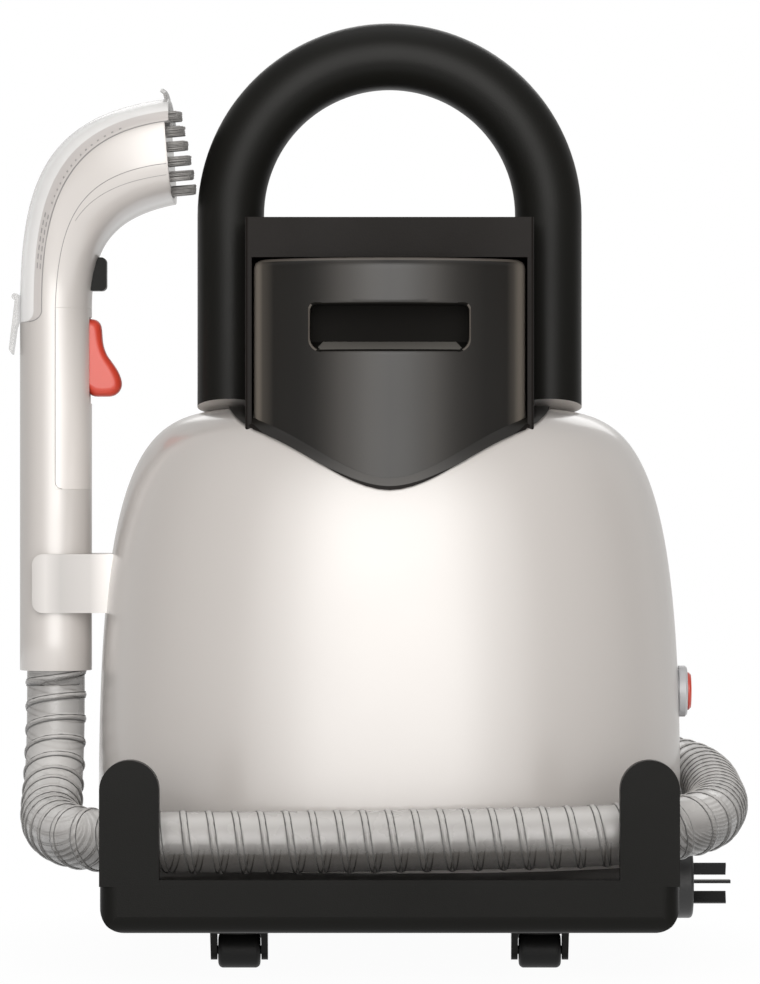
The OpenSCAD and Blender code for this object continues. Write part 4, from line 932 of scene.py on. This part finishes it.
def build_crown_seat():
    """Black seat under the dirty tank's edge, which runs out under the handle's legs, painted with the
    tank's smoke and a painted highlight in its middle.
    """
    columns, rows = 96, 8
    points = []
    for share in steps(0, 1, rows):
        for x in steps(-SEAT_REACH, SEAT_REACH, columns):
            low, high = seat_span(x)
            z = low + max(0.4, high - low) * share
            points.append((x, -body_depth(x, z, SEAT_PROUD), min(z, SEAT_TOP + 0.6)))
    piece("crown_seat", points, grid_faces(rows + 1, columns + 1, closed=False), "chassis",
          "crown_black", material="smoke_painted_highlight")


LEG_X, LEG_R = 76.2, 16.03
LEG_FOOT, LEG_TOP = (266.0, 258.6), 270.0


def build_leg_feet():
    """The handle's legs end on a slope that is low at the back, where it meets the body."""
    sides = 64
    for name, middle in (("leg_foot_left", -LEG_X), ("leg_foot_right", LEG_X)):
        ring = [(LEG_R * cos(a), LEG_R * sin(a)) for a in steps(0, tau, sides)[:-1]]
        slope = (LEG_FOOT[1] - LEG_FOOT[0]) / (2 * LEG_R)
        points = [(middle + x, y, LEG_FOOT[0] + slope * (y + LEG_R)) for x, y in ring]
        points += [(middle + x, y, LEG_TOP) for x, y in ring]
        foot = piece(name, points, grid_faces(2, sides) + [tuple(range(sides))[::-1]], "chassis",
                     "handle_black")
        # The sloped end face is painted pale: a painted reflection of the white body below.
        foot.data.materials.append(MATERIALS["foot_painted_sheen"])
        foot.data.polygons[-1].material_index = 1
        shade_smooth(foot, 40)


build_dirty_tank()
build_pocket_floor()
build_crown_seat()
build_leg_feet()

# ---- wand ----

WAND_X, WAND_Z, WAND_R, WAND_WALL = 160.1, 136.2, 17.25, 3.2
HEAD_Z = 310.0
HEAD_OUTER = [(-177.35, 310), (-177, 367), (-168, 401), (-107.3, 409.2)]
HEAD_INNER = [(-142.85, 310), (-142.9, 338), (-134, 354), (-103.2, 360)]
MOUTH_HALF = 43.0
COVER_LOW, COVER_TOP, COVER_WALL = -7.0, 1.012, 2.4
COVER_LOW_ANGLE, COVER_CORNER = 46.0, 5.0
PANEL_Z, PANEL_WALL = (223.0, 309.5), 1.5
PANEL_CORNER, PANEL_CORNER_ANGLE = 3.5, 11.0
EDGE = 0.12
# The cover's reach in degrees: on the grip, how much more at the bend, and how much more at the mouth.
COVER_REACH = (70, 5, 1.5)
# The seam's place between the head's middle and its inside, at the grip, and what it gains to the mouth.
SEAM_PLACE = (0.0464, 0.275)


def cubic(points, t):
    a, b, c, d = (Vector(p) for p in points)
    return (1 - t) ** 3 * a + 3 * t * (1 - t) ** 2 * b + 3 * t * t * (1 - t) * c + t ** 3 * d


def head_power(t):
    """How square the head's section is: 2 is round."""
    return 2 + 1.2 * ease(t)


def head_point(t, angle, inset=0.0):
    """Point of the head's skin: t runs from grip to mouth, and the angle round from the back."""
    o, i = cubic(HEAD_OUTER, t), cubic(HEAD_INNER, t)
    middle, across = (o + i) / 2, (o - i).normalized()
    high = (o - i).length / 2 - inset
    wide = WAND_R + (MOUTH_HALF - WAND_R) * ease(t) - inset
    a = radians(angle)
    u, v = (power(way, 2 / head_power(t)) for way in (cos(a), sin(a)))
    return middle.x + high * u * across.x, -wide * v, middle.y + high * u * across.y


def wand_point(station, angle, inset=0.0):
    """Stations below 0 are millimetres down the grip, and 0 to 1 the head."""
    if station >= 0:
        return head_point(station, angle, inset)
    x, y, _ = head_point(0, angle, inset)
    return x, y, HEAD_Z + station


def cover_angle(station):
    """How far round the clear cover reaches: it has rounded lower corners, and widens to the mouth."""
    t = min(max(station, 0.0), 1.0)
    wide = COVER_REACH[0] + COVER_REACH[1] * sin(pi * t) ** 2 + COVER_REACH[2] * t
    return wide - (wide - COVER_LOW_ANGLE) * rounded_in((station - COVER_LOW) / COVER_CORNER)


def seam_angle(station):
    """Angle of the line where the inner panel meets the outer wall."""
    t = min(max(station, 0.0), 1.0)
    place = SEAM_PLACE[0] + SEAM_PLACE[1] * t
    return 180 - degrees(acos(place ** (head_power(t) / 2)))


def side_angle(station, lane):
    """Lane 0 to 1 goes from the back to the cover's edge, 1 to 2 on to the seam, 2 to 3 to the inside.

    On the other side, lanes 3 to 6 go back the same way, and lanes 0 to -3 mirror lanes 0 to 3.
    """
    if lane > 3:
        return -side_angle(station, 6 - lane)
    if lane < 0:
        return -side_angle(station, -lane)
    marks = (0, cover_angle(station), seam_angle(station), 180)
    k = min(2, int(lane))
    return marks[k] + (marks[k + 1] - marks[k]) * (lane - k)


def rounded_in(share):
    """How far a quarter round has turned in: 1 at its start and 0 from its end on."""
    f = min(1.0, max(0.0, share))
    return 1 - sqrt(1 - (1 - f) ** 2)


def panel_angle(station):
    """Angle of the panel's outline, which turns in at its lower corners."""
    up = (station + HEAD_Z - PANEL_Z[0]) / PANEL_CORNER
    return seam_angle(station) + PANEL_CORNER_ANGLE * rounded_in(up)


def wand_patch(name, stations, lanes, drop, slot, wall, body="wand", **options):
    """Part of the wand's wall: the cells of a grid of stations and lanes that drop() leaves."""
    points = [wand_point(s, side_angle(s, lane)) for s in stations for lane in lanes]
    columns = len(lanes)
    faces = []
    for j in range(len(stations) - 1):
        for i in range(columns - 1):
            if not drop((stations[j] + stations[j + 1]) / 2, (lanes[i] + lanes[i + 1]) / 2):
                k = j * columns + i
                faces.append((k, k + columns, k + columns + 1, k + 1))
    obj = piece(name, points, faces, body, slot, **options)
    with edited(obj) as work:
        drop_loose(work)
        bmesh.ops.recalc_face_normals(work, faces=work.faces)
        middles = [(f.normal, f.calc_center_median()) for f in work.faces]
        if sum(normal.dot(p - at(-WAND_X, 0, p.z / MM)) for normal, p in middles) < 0:
            bmesh.ops.reverse_faces(work, faces=work.faces)
    thicken(obj, wall, EDGE)
    return obj


def surface_line(name, stations, angle, radius):
    """Fine line along the wand's skin, on both sides."""
    for side, end in ((1, "_front"), (-1, "_rear")):
        route = [Vector(wand_point(s, side * angle(s), radius * 0.4)) for s in stations]
        swept(name + end, route, lambda i, turn: radius, 6, "wand", "body_white", material="seam_grey")


COVER_LANES = 40
COVER_BAND = 0.8


def shade_edges(cover):
    """Painted shade: the clear cover's side bands get a darker material, where its wall is seen edge on."""
    cover.data.materials.append(MATERIALS["cover_shade"])
    for face in cover.data.polygons:
        lane = abs(2 * (face.index % COVER_LANES + 0.5) / COVER_LANES - 1)
        face.material_index = int(lane > COVER_BAND)


RIB_OUT, RIB_IN = -0.12, 0.6
RIB_ANGLE = 1.7
# Low on the cover's edge the ribs are dashes in two rows, and further up they are dots.
RIB_DASH, RIB_DOT = 0.02, 0.009


def cover_ribs():
    """Short ribs moulded along both edges of the clear cover."""
    marks = [(t, RIB_DASH, away) for t in steps(0.13, 0.33, 6) for away in (3.5, 9.0)]
    marks += [(t, RIB_DOT, 4.0) for t in steps(0.4, 0.85, 14)]

    def rib(side, t, length, away):
        corners = [(t + along, side * (cover_angle(t) - away - up))
                   for along, up in ((0, 0), (length, 0), (length, RIB_ANGLE), (0, RIB_ANGLE))]
        return [[head_point(*corner, inset_by) for corner in corners] for inset_by in (RIB_OUT, RIB_IN)]

    lofted("cover_ribs", [rib(side, *mark) for side in (1, -1) for mark in marks], "cover",
           "clear_plastic", smooth=False, material="seam_grey")


# The lip's outer outline across the mouth, from the cover's top, and its thickness and half its width.
LIP = [(-2.6, 4.7), (-1.2, 3.6), (0.2, -1.6), (1.4, -7.6), (2.2, -12.7)]
LIP_T, LIP_HALF = 1.1, 30.0
LIP_ARCH = 3.2


def cover_lip():
    """Thin suction lip across the top of the mouth, leaning out over the bristles."""
    top = cubic(HEAD_OUTER, COVER_TOP)
    high = (top - cubic(HEAD_INNER, COVER_TOP)).length / 2
    outline = LIP + [(x - LIP_T, z) for x, z in LIP[::-1]]
    rings = []
    for y in steps(-LIP_HALF, LIP_HALF, 32):
        dip = high * (1 - (1 - (abs(y) / MOUTH_HALF) ** LIP_ARCH) ** (1 / LIP_ARCH))
        rings.append([(top.x + x, y, top.y + z - dip) for x, z in outline])
    lofted("cover_lip", [rings], "cover", "clear_plastic", smooth=False, material="lever_clear")


TRIGGER_WINDOW = (264.0, 305.2)
TRIGGER_HALF, TRIGGER_ROUND = 5.2, 4.0
# The roll of the trigger's edge grows over this way from its back, which stays square in the grip.
ROLL_FROM, ROLL_OVER = -152, 8
TRIGGER_BACK = [(-156, 304.6), (-156, 293), (-148.5, 276), (-143, 267.2)]
TRIGGER_TIP, TRIGGER_TIP_R = (-134.5, 273.4), 6.2
TRIGGER_FRONT = [(-129.6, 278.6), (-132.6, 283.2), (-136.0, 287.6), (-137.6, 292.6), (-137.9, 298.6),
                 (-138.4, 302.4), (-140.4, 304.6)]


def build_panel(low, high, lanes):
    """Panel let into the inside of the grip, open where the trigger comes out."""
    window = [z - HEAD_Z for z in TRIGGER_WINDOW]
    stations = steps(low, window[0], 12) + steps(*window, 12)[1:] + [high]
    inner = [a for a in lanes if a >= 2]
    around = inner + [6 - a for a in inner[-2::-1]]

    def in_window(station, lane):
        away = radians(abs(3 - lane) * (180 - seam_angle(0)))
        return window[0] < station < window[1] and WAND_R * sin(away) < TRIGGER_HALF

    panel = wand_patch("grip_panel", stations, around, in_window, "body_white", PANEL_WALL,
                       replaces=["grip_insert"], material="panel_white_painted_light")
    panel.modifiers.new("normals", "WEIGHTED_NORMAL").keep_sharp = True


def relaxed(ring, passes):
    """The closed ring with its corners eased."""
    for _ in range(passes):
        ring = [(ring[i - 1] + 2 * ring[i] + ring[(i + 1) % len(ring)]) / 4 for i in range(len(ring))]
    return ring


def build_trigger():
    """Trigger with rolled edges, so that it shades dark towards its rim."""
    tip = [(TRIGGER_TIP[0] + TRIGGER_TIP_R * cos(radians(a)),
            TRIGGER_TIP[1] + TRIGGER_TIP_R * sin(radians(a))) for a in range(-100, 40, 10)]
    corners = [Vector(p) for p in TRIGGER_BACK + tip + TRIGGER_FRONT]
    outline = []
    for a, b in zip(corners, corners[1:] + corners[:1]):
        outline += evenly(a, b, 1.5)[:-1]
    outline = relaxed(outline, 3)
    rings = []
    for k, a in enumerate(steps(0, pi / 2, 6)):
        rolled = inset(outline, TRIGGER_ROUND * (1 - sin(a)))
        ring = [p.lerp(q, min(1.0, max(0.1, (p.x - ROLL_FROM) / ROLL_OVER)))
                for p, q in zip(outline, rolled)]
        ring = relaxed(ring, 2 * (6 - k))
        rings.append([(p.x, -TRIGGER_HALF + TRIGGER_ROUND * (1 - cos(a)), p.y) for p in ring])
    rings += [[(x, -y, z) for x, y, z in ring] for ring in rings[::-1]]
    trigger = lofted("trigger_skin", [rings], "trigger_lever", "signal_red", replaces=["trigger"])
    for cap in list(trigger.data.polygons)[-2:]:
        cap.use_smooth = False


def build_wand():
    low, high = (z - HEAD_Z for z in PANEL_Z)
    head = COVER_LOW - 0.2
    corner_top = COVER_LOW + COVER_CORNER
    stations = steps(WAND_Z - HEAD_Z, low, 6) + steps(low, head, 6)[1:]
    stations += steps(head, corner_top, 12)[1:] + [high, -0.2, 0.003] + steps(0.008, 1.0, 64)
    half = steps(0, 1, 14) + steps(1, 2, 8)[1:] + steps(2, 3, 24)[1:]

    def drop(station, lane):
        under_cover = station > head and abs(lane) < 1
        under_panel = low < station < high and abs(lane) > 2
        return under_cover or under_panel

    for side, lanes in (("front", half), ("rear", [-a for a in half[::-1]])):
        wand_patch("wand_" + side, stations, lanes, drop, "body_white", WAND_WALL,
                   replaces=[f"wand_{side}_half"], material="wand_white_painted_shade")
    build_panel(low, high, half)
    build_trigger()
    cover_stations = steps(COVER_LOW, corner_top, 12) + steps(corner_top, -0.01, 3)[1:]
    cover_stations += steps(0.003, COVER_TOP, 56)
    shade_edges(wand_patch("clear_cover", cover_stations, steps(-0.99, 0.99, COVER_LANES),
                           lambda station, lane: False, "clear_plastic", COVER_WALL, body="cover",
                           replaces=["nozzle_cover"]))
    seam = steps(low, low + PANEL_CORNER, 6) + steps(low + PANEL_CORNER, -0.3, 8)[1:]
    surface_line("wand_seam", seam + steps(0.0, 0.995, 60), panel_angle, 0.2)
    surface_line("wand_crease", steps(0.42, 0.99, 40), lambda t: seam_angle(t) + 12 * ease(t), 0.14)
    surface_line("cover_edge", cover_stations, lambda t: cover_angle(t) + 0.2, 0.3)
    cover_ribs()
    cover_lip()


BRISTLE_ROWS, BRISTLE_COLUMNS, STRANDS = 6, 9, 46
# The lowest row's place between the mouth's lower and upper edge, and the step from row to row.
FIRST_ROW, ROW_STEP = 0.113, 1 / 6.93
BRISTLE_TILT, BRISTLE_LEAN = 0.064, 5
BRISTLE_LONG, BRISTLE_SHORTER = 12.6, 0.85
TUFT_R, TUFT_PITCH, LOW_ROW_PITCH = 2.3, 7.6, 4.9
STRAND_ROOT_R, STRAND_TIP_R, STRAND_DEEP = 0.3, 0.24, 3.0
STRAND_SPLAY, STRAND_UNEVEN = 0.2, 0.7
PLATE_DROP, PLATE_FROM = 7.0, 0.94


def strand(root, y, length):
    """Two rings of a nylon strand, at a place in its tuft's hole."""
    lean = radians(BRISTLE_LEAN)
    turn = tau * random.random()
    reach = TUFT_R * random.random() ** 0.4
    rise = y * BRISTLE_TILT + reach * sin(turn)
    foot = Vector((root.x - STRAND_DEEP, y + reach * cos(turn), root.y + rise))
    splay = Vector((0, cos(turn), 0)) * STRAND_SPLAY * random.random()
    along = Vector((cos(lean), 0, sin(lean)))
    tip = foot + along * (length + random.random() * STRAND_UNEVEN) + splay
    return [[end + thick * Vector((0, cos(a), sin(a))) for a in steps(0, tau, 5)[:-1]]
            for end, thick in ((foot, STRAND_ROOT_R), (tip, STRAND_TIP_R))]


def build_bristles():
    """Grey nylon tufts in rows on their plate, inside the mouth."""
    random.seed(7)
    low, high = cubic(HEAD_INNER, 1), cubic(HEAD_OUTER, 1)
    strands = []
    for row in range(BRISTLE_ROWS):
        root = low + (high - low) * (FIRST_ROW + row * ROW_STEP)
        for column in range(BRISTLE_COLUMNS):
            y = (column - BRISTLE_COLUMNS // 2) * (TUFT_PITCH if row else LOW_ROW_PITCH)
            strands += [strand(root, y, BRISTLE_LONG - BRISTLE_SHORTER * row) for _ in range(STRANDS)]
    lofted("bristle_tufts", strands, "wand", "bristle_grey", replaces=["bristle_strip"])
    sides = 64
    rings = [[head_point(t, 360 * k / sides, WAND_WALL + 0.35) for k in range(sides)]
             for t in (PLATE_FROM, 1)]
    rings = [[(x, y, min(z, high.y - PLATE_DROP)) for x, y, z in ring] for ring in rings]
    lofted("bristle_plate", [rings], "wand", "body_white", smooth=False)


build_wand()
build_bristles()

# ---- CAD nodes ----

SLOTS = {part["node"]: part["material_slot"] for part in frame["record"]["subparts"]}
OTHER_LOOKS = {"wand_clip": "clip_white_painted_light", "nozzle_latch": "latch_clear"}
for node_name, node in NODES.items():
    node.data.materials.clear()
    node.data.materials.append(MATERIALS[OTHER_LOOKS.get(node_name, SLOTS[node_name])])

# Moulded edges: the width of the round on each CAD piece that shows.
ROUNDS = {"base_tray": 0.8, "wand_clip": 0.8, "power_button": 0.8, "wand_button": 0.8, "plug_body": 0.8,
          **{f"caster_wheel_{corner}": 0.8 for corner in ("fl", "fr", "rl", "rr")},
          "switch_bezel": 0.6, "cord_hooks": 0.6, "crown_frame": 0.5, "filler_cap": 0.4, "clean_tank": 0.4}
for node_name, width in ROUNDS.items():
    soften(NODES[node_name], width, 3, 32)
    shade_smooth(NODES[node_name], 32)

# ---- floor ----

bpy.ops.mesh.primitive_circle_add(vertices=96, radius=1.6, fill_type="NGON", location=(0, 0, 0))
floor = bpy.context.object
floor.name = "floor"
floor.data.materials.append(MATERIALS["floor"])
